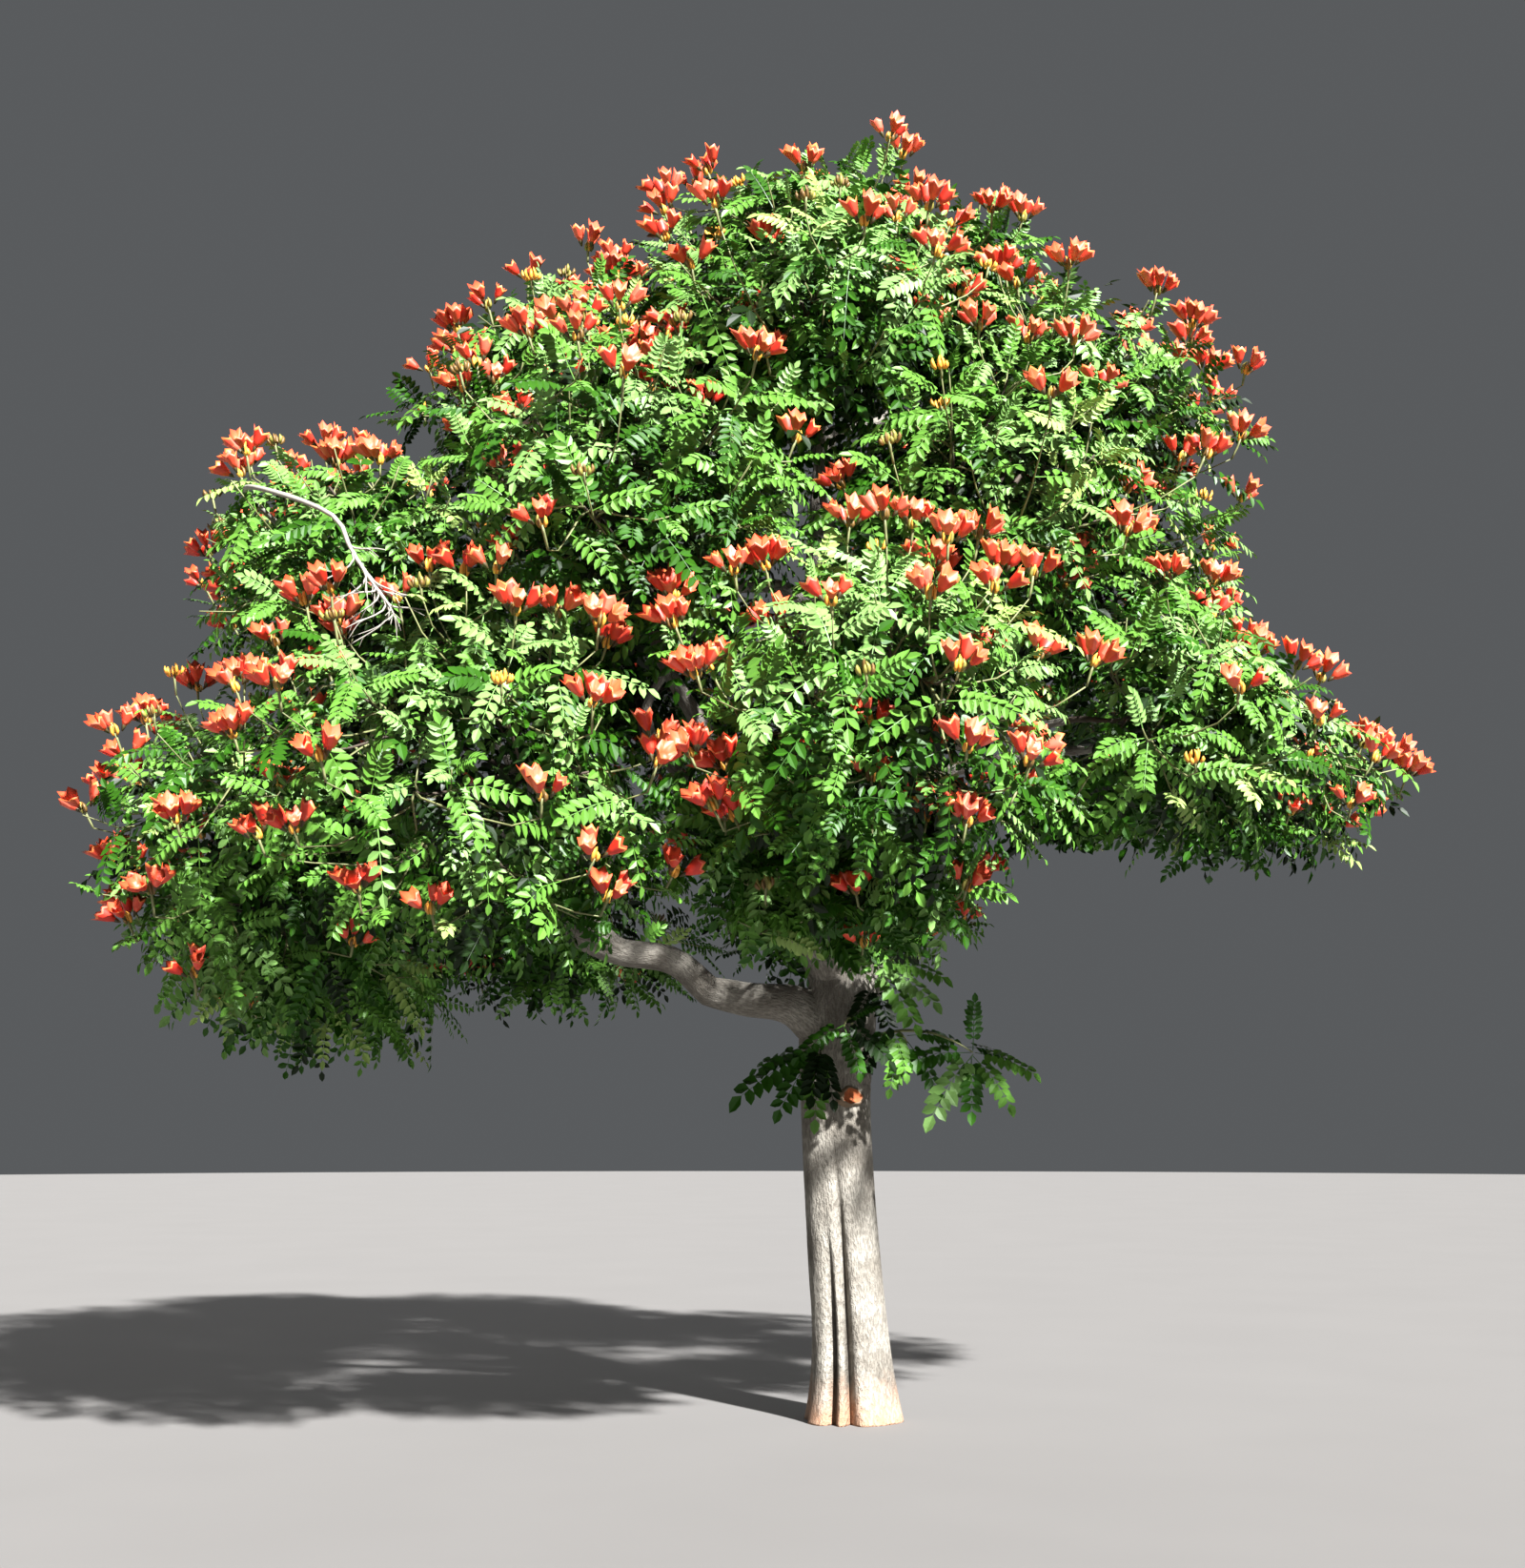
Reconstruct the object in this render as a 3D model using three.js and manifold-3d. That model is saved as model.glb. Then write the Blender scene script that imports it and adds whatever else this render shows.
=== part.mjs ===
// African tulip tree in flower, about 7 m tall: a fluted grey trunk that forks above head height, one long
// low bough that carries the crown out to the left, and a broad dome of pinnate leaves dotted with upright
// heads of flower. Millimetres, +Z up, +X to the right and +Y away from the front view. The origin is the
// middle of the flat cut under the trunk, at ground level.
import * as THREE from 'three';
import { mergeVertices } from 'three/addons/utils/BufferGeometryUtils.js';
import Module from 'manifold-3d';

const wasm = await Module();
wasm.setup();

// Clearance between two solids that meet.
const GAP = 0.3;

// Trunk
const TRUNK_HEIGHT = 2550;
const TRUNK_RADIUS = 185;
const TRUNK_TOP_RADIUS = 118;
const FLARE = 86; // extra radius at the ground
const FLARE_HEIGHT = 360; // height over which the flare dies away
const SWELLING = 22; // under the lowest bough
const SWELLING_HEIGHT = 2080;
const SWELLING_SPREAD = 260;
const TRUNK_LEAN = -72; // of its middle at 1700, before the top turns back by RETURN of it
const RETURN = 0.45;
const WAVER = 12; // of the trunk's middle, towards the front and back
const OUT_OF_ROUND = 0.035;
// Grooves between the ribs that run down into the roots: direction in degrees, depth as a share of the
// radius, width in degrees and the height where the groove ends.
const GROOVES = [
  { at: 247, depth: 0.3, width: 7, top: 1150 },
  { at: 267, depth: 0.34, width: 8, top: 1650 },
  { at: 30, depth: 0.2, width: 18, top: 900 },
  { at: 118, depth: 0.26, width: 16, top: 1300 },
  { at: 185, depth: 0.16, width: 16, top: 800 },
];

// Crown: rings of foliage masses. Each ring is an ellipse in plan, about a middle that lies beside the
// trunk. rise lifts the ring's right side and lowers its left side, and taper makes the masses on its right
// smaller and those on its left larger.
const TIERS = [
  {
    name: 'skirt', count: 9, turn: 0, middle: -460, halfX: 2620, halfY: 2100,
    z: 3300, rise: 330, radius: 1320, taper: 0.12, flat: 0.82,
  },
  {
    name: 'shoulder', count: 7, turn: 4, middle: -760, halfX: 1970, halfY: 1740,
    z: 4450, rise: 90, radius: 1340, taper: 0, flat: 0.86,
  },
  {
    name: 'brow', count: 5, turn: 54, middle: -190, halfX: 1500, halfY: 1340,
    z: 5400, rise: 0, radius: 1230, taper: 0, flat: 0.88,
  },
  {
    name: 'top', count: 3, turn: 20, middle: -110, halfX: 700, halfY: 650,
    z: 6230, rise: 0, radius: 1060, taper: 0, flat: 0.84,
  },
];
// The lowest ring is flat underneath, at these heights from its left to its right, and slopes down to its right tip.
const SOLE = { left: 1850, middle: 2250, right: 3000 };
const SLOPE = { x: 2200, z: 4350, fall: 34 };
// Straight runs of the crown's outline: the ring that is cut, its direction across and up, and the distance from
// the origin.
const EDGES = [
  { ring: 'skirt', across: -0.912, up: -0.41, off: 2720 },
  { ring: 'skirt', across: 0.559, up: 0.829, off: 4680 },
  { ring: 'brow', across: -0.67, up: 0.742, off: 5960 },
  { ring: 'brow', across: 0.64, up: 0.768, off: 5740 },
];
const RING_WAVER = 90; // of the height of the masses in a ring
const RING_UNEVEN = 0.1; // of their radius
const SPACE_MARGIN = 14; // half the clear gap between neighbouring masses
const LEFT_LOBE = -1350; // masses beyond this are carried by the low bough

// Limbs: radius at the foot and at the tip.
const LEADER_TOP = 5350;
const LEADER_RADII = [117, 44];
const MAIN_RADII = [92, 36];
const BOUGH_RADII = [46, 20];
const LOW_RADII = [112, 82, 62]; // at the trunk, at the elbow and at the tip
const THICK_LIMB = 60; // a limb with a foot thicker than this gets more faces
const ROOT_DEPTH = 0.7; // where a limb enters a mass, as a share of the way inwards from its middle
const SAMPLES = 24; // steps along a limb at which a bough can leave it
const FIRST_SAMPLE = 8;

// Growth of one mass. Lengths along its stem, branches and twigs are shares.
const GROWTH = {
  branches: 5,
  twigs: 8,
  heads: 2, // heads of flower
  cap: 1.45, // how far round its outer side a mass grows: 1 is the outer half, 2 all round
  fork: 0.32, // where the stem forks, inwards from the middle of the mass
  stemTaper: 0.6,
  branchReach: 0.34,
  branchRadii: [0.55, 0.3], // of the stem's radius
  twigStart: 0.85, // along its branch
  twigRadius: 0.28, // of the stem's radius
  leafFootRadius: 9,
  leafEnd: 1.03, // room kept for the end leaf, in lengths of it
  leastTwig: 0.35, // of the way out to the edge of the space
  leafSeats: [0.86, 0.7], // of the two side leaves, along their twig
  leafSpreads: [1.2, 0.85], // how far a side leaf swings out, first choice first
  leafDrop: 0.2, // how far a side leaf turns down, as a share of its swing
  sideLeaf: 0.92, // size of a side leaf
  core: 0.55, // size of the dense heart as a share of the mass
  coreUneven: 0.14,
  coreInset: 40, // least depth of the heart inside the space
  coreBack: 0.85, // depth of the heart towards the bough's tip
  headRoom: 1.1, // how far a head may stand out of the space
};
const SHOOT_GROWTH = { ...GROWTH, branches: 2, twigs: 4, heads: 0, core: 0 };
const LEAF = { length: 540, width: 290, fold: 56, droop: 70, widest: 0.46 };
const HEAD = { top: 150, foot: 38, height: 130, dish: 60, sunk: 200, upright: 0.45 };

// Leafy shoots on the trunk under the fork
const SHOOTS = [
  { name: 'trunk_shoot_right', from: 2010, direction: -22, reach: 620, z: 1900, radius: 520 },
  { name: 'trunk_shoot_left', from: 1960, direction: 236, reach: 500, z: 1800, radius: 480 },
];
const SHOOT = { flat: 0.9, rise: 0.15, radius: 16, leafSize: 0.62, sunk: 10, firstSeed: 60 };

const GOLDEN = Math.PI * (3 - Math.sqrt(5));
const UP = new THREE.Vector3(0, 0, 1);
const point = (x, y, z) => new THREE.Vector3(x, y, z);
const mix = THREE.MathUtils.lerp;
const smooth = THREE.MathUtils.smoothstep;
const rad = THREE.MathUtils.degToRad;

// A repeatable number from 0 to 1 for three counters.
function chance(a, b, c) {
  const n = Math.sin(a * 12.9898 + b * 78.233 + c * 37.719) * 43758.5453;
  return n - Math.floor(n);
}

// A closed geometry as a solid.
function solid(geometry) {
  const bare = geometry.clone();
  bare.deleteAttribute('normal');
  bare.deleteAttribute('uv');
  const merged = mergeVertices(bare, 1e-3);
  return new wasm.Manifold(new wasm.Mesh({
    numProp: 3,
    vertProperties: new Float32Array(merged.attributes.position.array),
    triVerts: new Uint32Array(merged.index.array),
  }));
}

// The largest piece of a solid, without loose scraps.
function largest(made) {
  return made.decompose().reduce((a, b) => (a.volume() > b.volume() ? a : b));
}

function toMesh(name, made, material) {
  const data = made.getMesh();
  const geometry = new THREE.BufferGeometry();
  geometry.setAttribute('position', new THREE.BufferAttribute(data.vertProperties.slice(), 3));
  geometry.setIndex(new THREE.BufferAttribute(data.triVerts.slice(), 1));
  geometry.computeVertexNormals();
  const mesh = new THREE.Mesh(geometry, material);
  mesh.name = name;
  return mesh;
}

// Moves each vertex of a geometry by a function of its place.
function reshape(geometry, place) {
  const at = geometry.attributes.position;
  for (let i = 0; i < at.count; i++) {
    const p = place(at.getX(i), at.getY(i), at.getZ(i));
    at.setXYZ(i, p.x, p.y, p.z);
  }
  return geometry;
}

// Trunk: the middle and the radius of its level section at a height.
function trunkMiddle(z) {
  const lean = TRUNK_LEAN * (smooth(z, 0, 1700) - RETURN * smooth(z, 1750, 2400));
  return point(lean, WAVER * Math.sin(z / 700), z);
}

function trunkRadius(z, angle) {
  const flare = FLARE * Math.exp(-z / FLARE_HEIGHT);
  const swelling = SWELLING * Math.exp(-(((z - SWELLING_HEIGHT) / SWELLING_SPREAD) ** 2));
  const plain = mix(TRUNK_RADIUS, TRUNK_TOP_RADIUS, smooth(z, 2150, TRUNK_HEIGHT)) + flare + swelling;
  let share = 1 + OUT_OF_ROUND * Math.cos(3 * angle + z / 900);
  for (const groove of GROOVES) {
    const off = Math.atan2(Math.sin(angle - rad(groove.at)), Math.cos(angle - rad(groove.at)));
    const fade = 1 - smooth(z, 0.25 * groove.top, groove.top);
    share -= groove.depth * fade * Math.exp(-((off / rad(groove.width)) ** 2));
  }
  return plain * share;
}

function trunkSolid(grow) {
  const shape = new THREE.CylinderGeometry(1, 1, 1, 42, 12);
  return solid(reshape(shape, (x, y, z) => {
    const height = mix(-grow, TRUNK_HEIGHT + grow, y + 0.5);
    const middle = trunkMiddle(height);
    const angle = Math.atan2(-z, x);
    const r = Math.hypot(x, z) * (trunkRadius(Math.max(height, 0), angle) + grow);
    return point(middle.x + r * Math.cos(angle), middle.y + r * Math.sin(angle), height);
  }));
}

// A tapering limb along a curve, with a slight waver in its thickness.
function makeLimb(name, points, radii) {
  const curve = new THREE.CatmullRomCurve3(points, false, 'centripetal');
  const radius = (t) => mix(radii[0], radii[1], t) * (1 + 0.04 * Math.sin(9 * t + points[0].z));
  const line = Array.from({ length: SAMPLES + 1 }, (_, i) => {
    const t = i / SAMPLES;
    return { at: curve.getPointAt(t), r: radius(t) };
  });
  const thick = radii[0] > THICK_LIMB;
  return { name, curve, radius, line, taken: [], sides: thick ? 8 : 5, rings: thick ? 7 : 5 };
}

function limbSolid(limb, grow) {
  const shape = new THREE.CylinderGeometry(1, 1, 1, limb.sides, limb.rings);
  const frames = limb.curve.computeFrenetFrames(limb.rings);
  return solid(reshape(shape, (x, y, z) => {
    const t = y + 0.5;
    const i = Math.round(t * limb.rings);
    const end = i === 0 ? -grow : i === limb.rings ? grow : 0;
    const r = limb.radius(t) + grow;
    return limb.curve.getPointAt(t)
      .addScaledVector(frames.normals[i], x * r)
      .addScaledVector(frames.binormals[i], -z * r)
      .addScaledVector(frames.tangents[i], end);
  }));
}

// Foliage masses: middle, outward direction and radius of each, ring by ring.
function ringMasses() {
  const masses = [];
  for (const tier of TIERS) {
    for (let k = 0; k < tier.count; k++) {
      const angle = rad(tier.turn + (360 * k) / tier.count);
      const middle = point(
        tier.middle + tier.halfX * Math.cos(angle),
        tier.halfY * Math.sin(angle),
        tier.z + tier.rise * Math.cos(angle) + RING_WAVER * (chance(k, tier.z, 1) - 0.5),
      );
      const uneven = 1 + RING_UNEVEN * (chance(k, tier.z, 2) - 0.5);
      const climb = mix(-0.2, 2.2, smooth(tier.z, 3000, 6000));
      masses.push({
        name: `${tier.name}_${k + 1}`,
        tier: tier.name,
        seed: masses.length + 1,
        middle,
        radius: tier.radius * (1 - tier.taper * Math.cos(angle)) * uneven,
        flat: tier.flat,
        outward: point(Math.cos(angle), Math.sin(angle), climb).normalize(),
      });
    }
  }
  return masses;
}

// Space of a mass: its ellipsoid, cut by the flat planes halfway to its neighbours.
function makeSpaces(masses) {
  const power = (m) => m.radius ** 2;
  for (const m of masses) {
    const neighbours = masses.filter((o) => o !== m && o.middle.distanceTo(m.middle) < o.radius + m.radius);
    m.walls = neighbours.map((o) => {
      const normal = o.middle.clone().sub(m.middle);
      const d = normal.length();
      normal.normalize();
      return { normal, off: (d * d + power(m) - power(o)) / (2 * d) - SPACE_MARGIN };
    });
    if (m.tier === TIERS[0].name) m.walls.push(...trims(m));
    const inwards = m.outward.clone().negate();
    m.root = m.middle.clone().addScaledVector(inwards, ROOT_DEPTH * reach(m, inwards));
    for (const edge of EDGES.filter((e) => e.ring === m.tier)) {
      const normal = point(edge.across, 0, edge.up).normalize();
      m.walls.push({ normal, off: edge.off - normal.dot(m.middle) });
    }
  }
}

// Flat cuts of a mass in the lowest ring: its sole, and the slope down to the right tip.
function trims(m) {
  const across = (1 + m.outward.x / Math.hypot(m.outward.x, m.outward.y)) / 2;
  const sole = SOLE.left + (SOLE.middle - SOLE.left) * smooth(across, 0, 0.25)
    + (SOLE.right - SOLE.middle) * smooth(across, 0.5, 0.95);
  const down = { normal: UP.clone().negate(), off: m.middle.z - sole };
  const facing = point(Math.sin(rad(SLOPE.fall)), 0, Math.cos(rad(SLOPE.fall)));
  const slope = point(SLOPE.x, m.middle.y, SLOPE.z).sub(m.middle);
  return [down, { normal: facing, off: facing.dot(slope) }];
}

// Distance from the middle of a mass to its own ellipsoid, along a direction.
function ownReach(m, direction) {
  return m.radius / Math.hypot(direction.x, direction.y, direction.z / m.flat);
}

// Distance from the middle of a mass to the edge of its space, along a direction.
function reach(m, direction) {
  return m.walls.reduce((least, wall) => {
    const towards = wall.normal.dot(direction);
    return towards > 1e-6 ? Math.min(least, wall.off / towards) : least;
  }, ownReach(m, direction));
}

function inSpace(m, p, stretch = 1) {
  const q = p.clone().sub(m.middle);
  if (Math.hypot(q.x, q.y, q.z / m.flat) > m.radius * stretch) return false;
  return m.walls.every((wall) => wall.normal.dot(q) < wall.off);
}

// Direction k of n over the outer cap of a mass, on a golden spiral about its outward direction.
function spiral(m, k, n, turn) {
  const height = 1 - (GROWTH.cap * (k + 0.5)) / n;
  const flatness = Math.sqrt(1 - height * height);
  const across = Math.abs(m.outward.z) > 0.9 ? point(1, 0, 0) : UP;
  const side = new THREE.Vector3().crossVectors(m.outward, across).normalize();
  const other = new THREE.Vector3().crossVectors(m.outward, side);
  const angle = k * GOLDEN + turn;
  return m.outward.clone().multiplyScalar(height)
    .addScaledVector(side, flatness * Math.cos(angle))
    .addScaledVector(other, flatness * Math.sin(angle));
}

// A straight stick whose foot faces along a direction of its own, to lie flat against what carries it.
function stick(from, to, r0, r1, sides, facing) {
  const along = to.clone().sub(from).normalize();
  const turn = new THREE.Quaternion().setFromUnitVectors(point(0, 1, 0), along);
  const tilt = new THREE.Quaternion().setFromUnitVectors(along, facing);
  return reshape(new THREE.CylinderGeometry(r1, r0, 2, sides, 1), (x, y, z) => {
    const spoke = point(x, 0, z).applyQuaternion(turn);
    return y < 0 ? spoke.applyQuaternion(tilt).add(from) : spoke.add(to);
  });
}

// Side and upper direction of a leaf that lies along a direction.
function leafFrame(along) {
  const side = new THREE.Vector3().crossVectors(UP, along).normalize();
  return { side, top: new THREE.Vector3().crossVectors(along, side) };
}

// A leaf as a ridged blade of six faces, from its foot along a direction.
function leafBlade(foot, along, size) {
  const { side, top } = leafFrame(along);
  const half = Math.sqrt(3) / 2;
  const shape = new THREE.PolyhedronGeometry(
    [1, 0, 0, -1, 0, 0, 0, 0, 1, 0, half, -0.5, 0, -half, -0.5],
    [0, 3, 2, 0, 4, 3, 0, 2, 4, 1, 2, 3, 1, 3, 4, 1, 4, 2],
  );
  return reshape(shape, (x, y, z) => {
    const out = x > 0.5 ? LEAF.length : x < -0.5 ? 0 : LEAF.widest * LEAF.length;
    const up = (2 / 3) * LEAF.fold * z - (x > 0.5 ? LEAF.droop : 0);
    return foot.clone().addScaledVector(along, out * size)
      .addScaledVector(side, ((y / half) * LEAF.width * size) / 2)
      .addScaledVector(top, up * size);
  });
}

// A three-sided twig that widens into the leaf at its end.
function leafyTwig(from, to, r0, r1, size) {
  const along = to.clone().sub(from).normalize();
  const { side, top } = leafFrame(along);
  const shape = new THREE.ConeGeometry(1, 1, 3, 3);
  return reshape(shape, (x, y, z) => {
    const row = Math.round((y + 0.5) * 3);
    const spoke = Math.hypot(x, z) > 1e-6 ? point(x, 0, z).normalize() : point(0, 0, 0);
    const length = LEAF.length * size;
    const wide = [r0, r1, (LEAF.width * size) / Math.sqrt(3), 0][row];
    const high = [r0, r1, (2 / 3) * LEAF.fold * size, 0][row];
    const out = [0, 0, LEAF.widest, 1][row] * length;
    return (row === 0 ? from : to).clone().addScaledVector(along, out)
      .addScaledVector(side, -spoke.x * wide)
      .addScaledVector(top, spoke.z * high - (row === 3 ? LEAF.droop * size : 0));
  });
}

// A five-sided twig that widens into the cup of a head of flower, hollowed to a dish on top.
function flowerTwig(from, to, r0, up) {
  const shape = new THREE.CylinderGeometry(HEAD.top, r0, 2, 5, 2);
  const turn = new THREE.Quaternion().setFromUnitVectors(point(0, 1, 0), up);
  return reshape(shape, (x, y, z) => {
    const row = Math.round(y + 1);
    const spoke = Math.hypot(x, z) > 1e-6 ? point(x, 0, z).normalize() : point(0, 0, 0);
    const rise = row < 2 ? 0 : HEAD.height - (spoke.length() < 0.5 ? HEAD.dish : 0);
    const around = spoke.multiplyScalar([r0, HEAD.foot, HEAD.top][row]).setY(rise).applyQuaternion(turn);
    return around.add(row === 0 ? from : to);
  });
}

function corners(geometry) {
  const at = geometry.attributes.position;
  return Array.from({ length: at.count }, (_, i) => point(at.getX(i), at.getY(i), at.getZ(i)));
}

// The rule of growth: a stem, branches that fork from it, and twigs that fork from the nearest branch.
// Each twig ends in a leaf or a head of flower, with a leaf on either side. A twig or leaf that would leave
// the space or touch a limb is skipped, and the dense heart is cut clear of the limbs.
function growMass(m, obstacles) {
  const { growth } = m;
  const room = growth.headRoom * m.radius;
  const near = obstacles.filter((o) => o.box.distanceToPoint(m.middle) < room).map((o) => o.made);
  const fits = (geometry, stretch) => {
    if (!corners(geometry).every((p) => inSpace(m, p, stretch))) return false;
    const made = solid(geometry);
    return near.every((limb) => made.intersect(limb).isEmpty());
  };
  const from = (direction, distance) => m.middle.clone().addScaledVector(direction, distance);

  const fork = from(m.outward, -growth.fork * m.radius * m.flat);
  const heart = [stick(m.stemFrom, fork, m.stemRadius, growth.stemTaper * m.stemRadius, 6, m.stemFacing)];
  if (growth.core > 0) {
    heart.push(reshape(new THREE.OctahedronGeometry(1, 1), (x, y, z) => {
      const direction = point(x, y, z).normalize();
      const out = reach(m, direction);
      const uneven = 1 + growth.coreUneven * (chance(x, y, z) - 0.5);
      const size = growth.core * uneven * ownReach(m, direction);
      const inwards = -direction.dot(m.outward);
      const back = inwards > 0 ? (growth.coreBack * m.root.distanceTo(m.middle)) / inwards : Infinity;
      return from(direction, Math.min(size, back, 0.9 * out - growth.coreInset));
    }));
  }
  const [thick, thin] = growth.branchRadii.map((share) => share * m.stemRadius);
  const branches = Array.from({ length: growth.branches }, (_, k) => {
    const direction = spiral(m, k, growth.branches, m.seed);
    const end = from(direction, growth.branchReach * reach(m, direction));
    heart.push(stick(fork, end, thick, thin, 3, direction));
    return { direction, end };
  });

  const pieces = [];
  const twigs = Array.from({ length: growth.twigs }, (_, k) => spiral(m, k, growth.twigs, m.seed + 2));
  const rank = (direction) => direction.z + 0.6 * direction.dot(m.outward);
  const crowning = [...twigs].sort((a, b) => rank(b) - rank(a)).slice(0, growth.heads);
  for (const direction of twigs) {
    const nearness = (branch) => branch.direction.dot(direction);
    const branch = branches.reduce((a, b) => (nearness(a) > nearness(b) ? a : b));
    const start = fork.clone().lerp(branch.end, growth.twigStart);
    const r0 = growth.twigRadius * m.stemRadius;
    const far = reach(m, direction);
    const leafRoom = growth.leafEnd * LEAF.length * m.leafSize;
    const end = from(direction, Math.max(far - leafRoom, growth.leastTwig * far));
    const cup = from(direction, far - HEAD.sunk);
    const upright = direction.clone().multiplyScalar(HEAD.upright).add(UP).normalize();
    const choices = [{ tip: end, shape: leafyTwig(start, end, r0, growth.leafFootRadius, m.leafSize) }];
    if (crowning.includes(direction)) {
      choices.unshift({ tip: cup, shape: flowerTwig(start, cup, r0, upright) });
    }
    const grown = choices.find((choice) => fits(choice.shape, growth.headRoom));
    if (!grown) continue;
    pieces.push(grown.shape);
    const swing = new THREE.Vector3().crossVectors(UP, direction).normalize();
    [1, -1].forEach((turn, side) => {
      const out = growth.leafSeats[side] * end.distanceTo(start);
      const seat = grown.tip.clone().sub(start).setLength(out).add(start);
      const blade = growth.leafSpreads.map((spread) => {
        const along = direction.clone()
          .addScaledVector(swing, spread * turn)
          .addScaledVector(UP, -growth.leafDrop * spread);
        return leafBlade(seat, along.normalize(), growth.sideLeaf * m.leafSize);
      }).find((shape) => fits(shape, 1));
      if (blade) pieces.push(blade);
    });
  }

  let made = largest(wasm.Manifold.union(heart.map(solid)));
  for (const limb of near) made = made.subtract(limb);
  return largest(wasm.Manifold.union([largest(made), ...pieces.map(solid)]));
}

// Leader: the trunk's own line, on to the top of the crown.
function makeLeader() {
  const foot = trunkMiddle(TRUNK_HEIGHT).addScaledVector(UP, GAP);
  return makeLimb('leader', [
    foot,
    point(-60, 40, 3250),
    point(-170, -60, 4250),
    point(-130, 30, LEADER_TOP),
  ], LEADER_RADII);
}

// Low bough: out of the trunk to the left, in two lengths that meet at its elbow.
function makeLowBough() {
  const elbow = point(-760, -110, 2265);
  const near = makeLimb('low_bough_near', [
    point(-60, 0, 2030),
    point(-300, -50, 2190),
    point(-560, -90, 2225),
    elbow,
  ], LOW_RADII.slice(0, 2));
  const on = near.curve.getTangentAt(1);
  const start = elbow.clone().addScaledVector(on, GAP);
  const far = makeLimb('low_bough_far', [
    start,
    point(-960, -135, 2430),
    point(-1250, -160, 2480),
    point(-1500, -170, 2590),
    point(-1760, -120, 2800),
  ], LOW_RADII.slice(1));
  return [near, far];
}

// Main limb: from the trunk's crotch up to the root of a mass on the crown's shoulder.
function makeMainLimb(m, k) {
  const foot = trunkMiddle(2120 + 60 * k);
  const turn = Math.atan2(m.root.y, m.root.x);
  const out = (r, z) => point(foot.x + r * Math.cos(turn), r * Math.sin(turn), z);
  const half = 0.55 * Math.hypot(m.root.x, m.root.y);
  return makeLimb(`limb_${k + 1}`, [
    foot,
    out(230, foot.z + 330),
    out(half, mix(foot.z, m.root.z, 0.62)),
    m.root,
  ], MAIN_RADII);
}

// Bough: from the best place on a limb to the root of a mass. It would rather be short, climb, go on the
// way the limb goes, and leave it away from other boughs.
function makeBough(m, limbs) {
  let best = null;
  for (const limb of limbs) {
    for (let i = FIRST_SAMPLE; i <= SAMPLES; i++) {
      const way = m.root.clone().sub(limb.line[i].at);
      const climb = way.z / Math.max(Math.hypot(way.x, way.y), 1);
      const onwards = limb.curve.getTangentAt(i / SAMPLES).dot(way) / way.length();
      const crowd = limb.taken.filter((j) => Math.abs(j - i) < 5).length;
      const cost = way.length()
        * (1 + 1.6 * Math.max(0, 0.3 - climb))
        * (1.4 - 0.4 * onwards)
        * (1 + 0.3 * crowd);
      if (!best || cost < best.cost) best = { cost, limb, i };
    }
  }
  const { limb, i } = best;
  limb.taken.push(i);
  const tip = i === SAMPLES;
  const on = limb.curve.getTangentAt(i / SAMPLES);
  const start = tip ? limb.line[i].at.clone().addScaledVector(on, GAP) : limb.line[i].at.clone();
  const length = start.distanceTo(m.root);
  const straight = (share) => start.clone().lerp(m.root, share);
  const leave = start.clone().addScaledVector(on, 0.24 * length).lerp(straight(0.33), 0.45);
  const arrive = m.root.clone().addScaledVector(m.outward, -0.3 * length).lerp(straight(0.67), 0.5);
  const r0 = Math.min(BOUGH_RADII[0], 0.85 * limb.line[i].r);
  return makeLimb(`bough_${m.name}`, [start, leave, arrive, m.root], [r0, BOUGH_RADII[1]]);
}

const bark = new THREE.MeshStandardMaterial({ color: 0x8d8475, roughness: 0.92, metalness: 0 });
const foliage = new THREE.MeshStandardMaterial({ color: 0x4f9a2c, roughness: 0.55, metalness: 0 });

const tree = new THREE.Group();

const masses = ringMasses();
makeSpaces(masses);

// Limbs in the order in which they leave the trunk.
const leader = makeLeader();
const [lowNear, lowFar] = makeLowBough();
const limbs = [leader, lowNear, lowFar];
const carried = (m, limb) => {
  m.stemFacing = limb.curve.getTangentAt(1);
  m.stemFrom = m.root.clone().addScaledVector(m.stemFacing, GAP);
  m.stemRadius = 0.96 * limb.radius(1);
};
const shoulder = masses.filter((m) => m.tier === 'shoulder' && m.middle.x > LEFT_LOBE);
shoulder.forEach((m, k) => {
  const limb = makeMainLimb(m, k);
  limbs.push(limb);
  carried(m, limb);
});
const carriers = [...limbs];
for (const m of masses.filter((o) => !o.stemFrom)) {
  const low = m.middle.x < LEFT_LOBE && m.tier !== 'brow';
  const limb = makeBough(m, low ? [lowFar] : carriers.filter((c) => c !== lowNear && c !== lowFar));
  limbs.push(limb);
  carried(m, limb);
}

const obstacle = (made) => {
  const { min, max } = made.boundingBox();
  return { made, box: new THREE.Box3(point(...min), point(...max)) };
};
tree.add(toMesh('trunk', trunkSolid(0), bark));
const obstacles = [obstacle(trunkSolid(GAP))];
for (const limb of limbs) {
  const made = obstacles.reduce((rest, other) => rest.subtract(other.made), limbSolid(limb, 0));
  tree.add(toMesh(limb.name, largest(made), bark));
  obstacles.push(obstacle(limbSolid(limb, GAP)));
}

for (const m of masses) {
  Object.assign(m, { growth: GROWTH, leafSize: 1 });
  tree.add(toMesh(`foliage_${m.name}`, growMass(m, obstacles), foliage));
}

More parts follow.
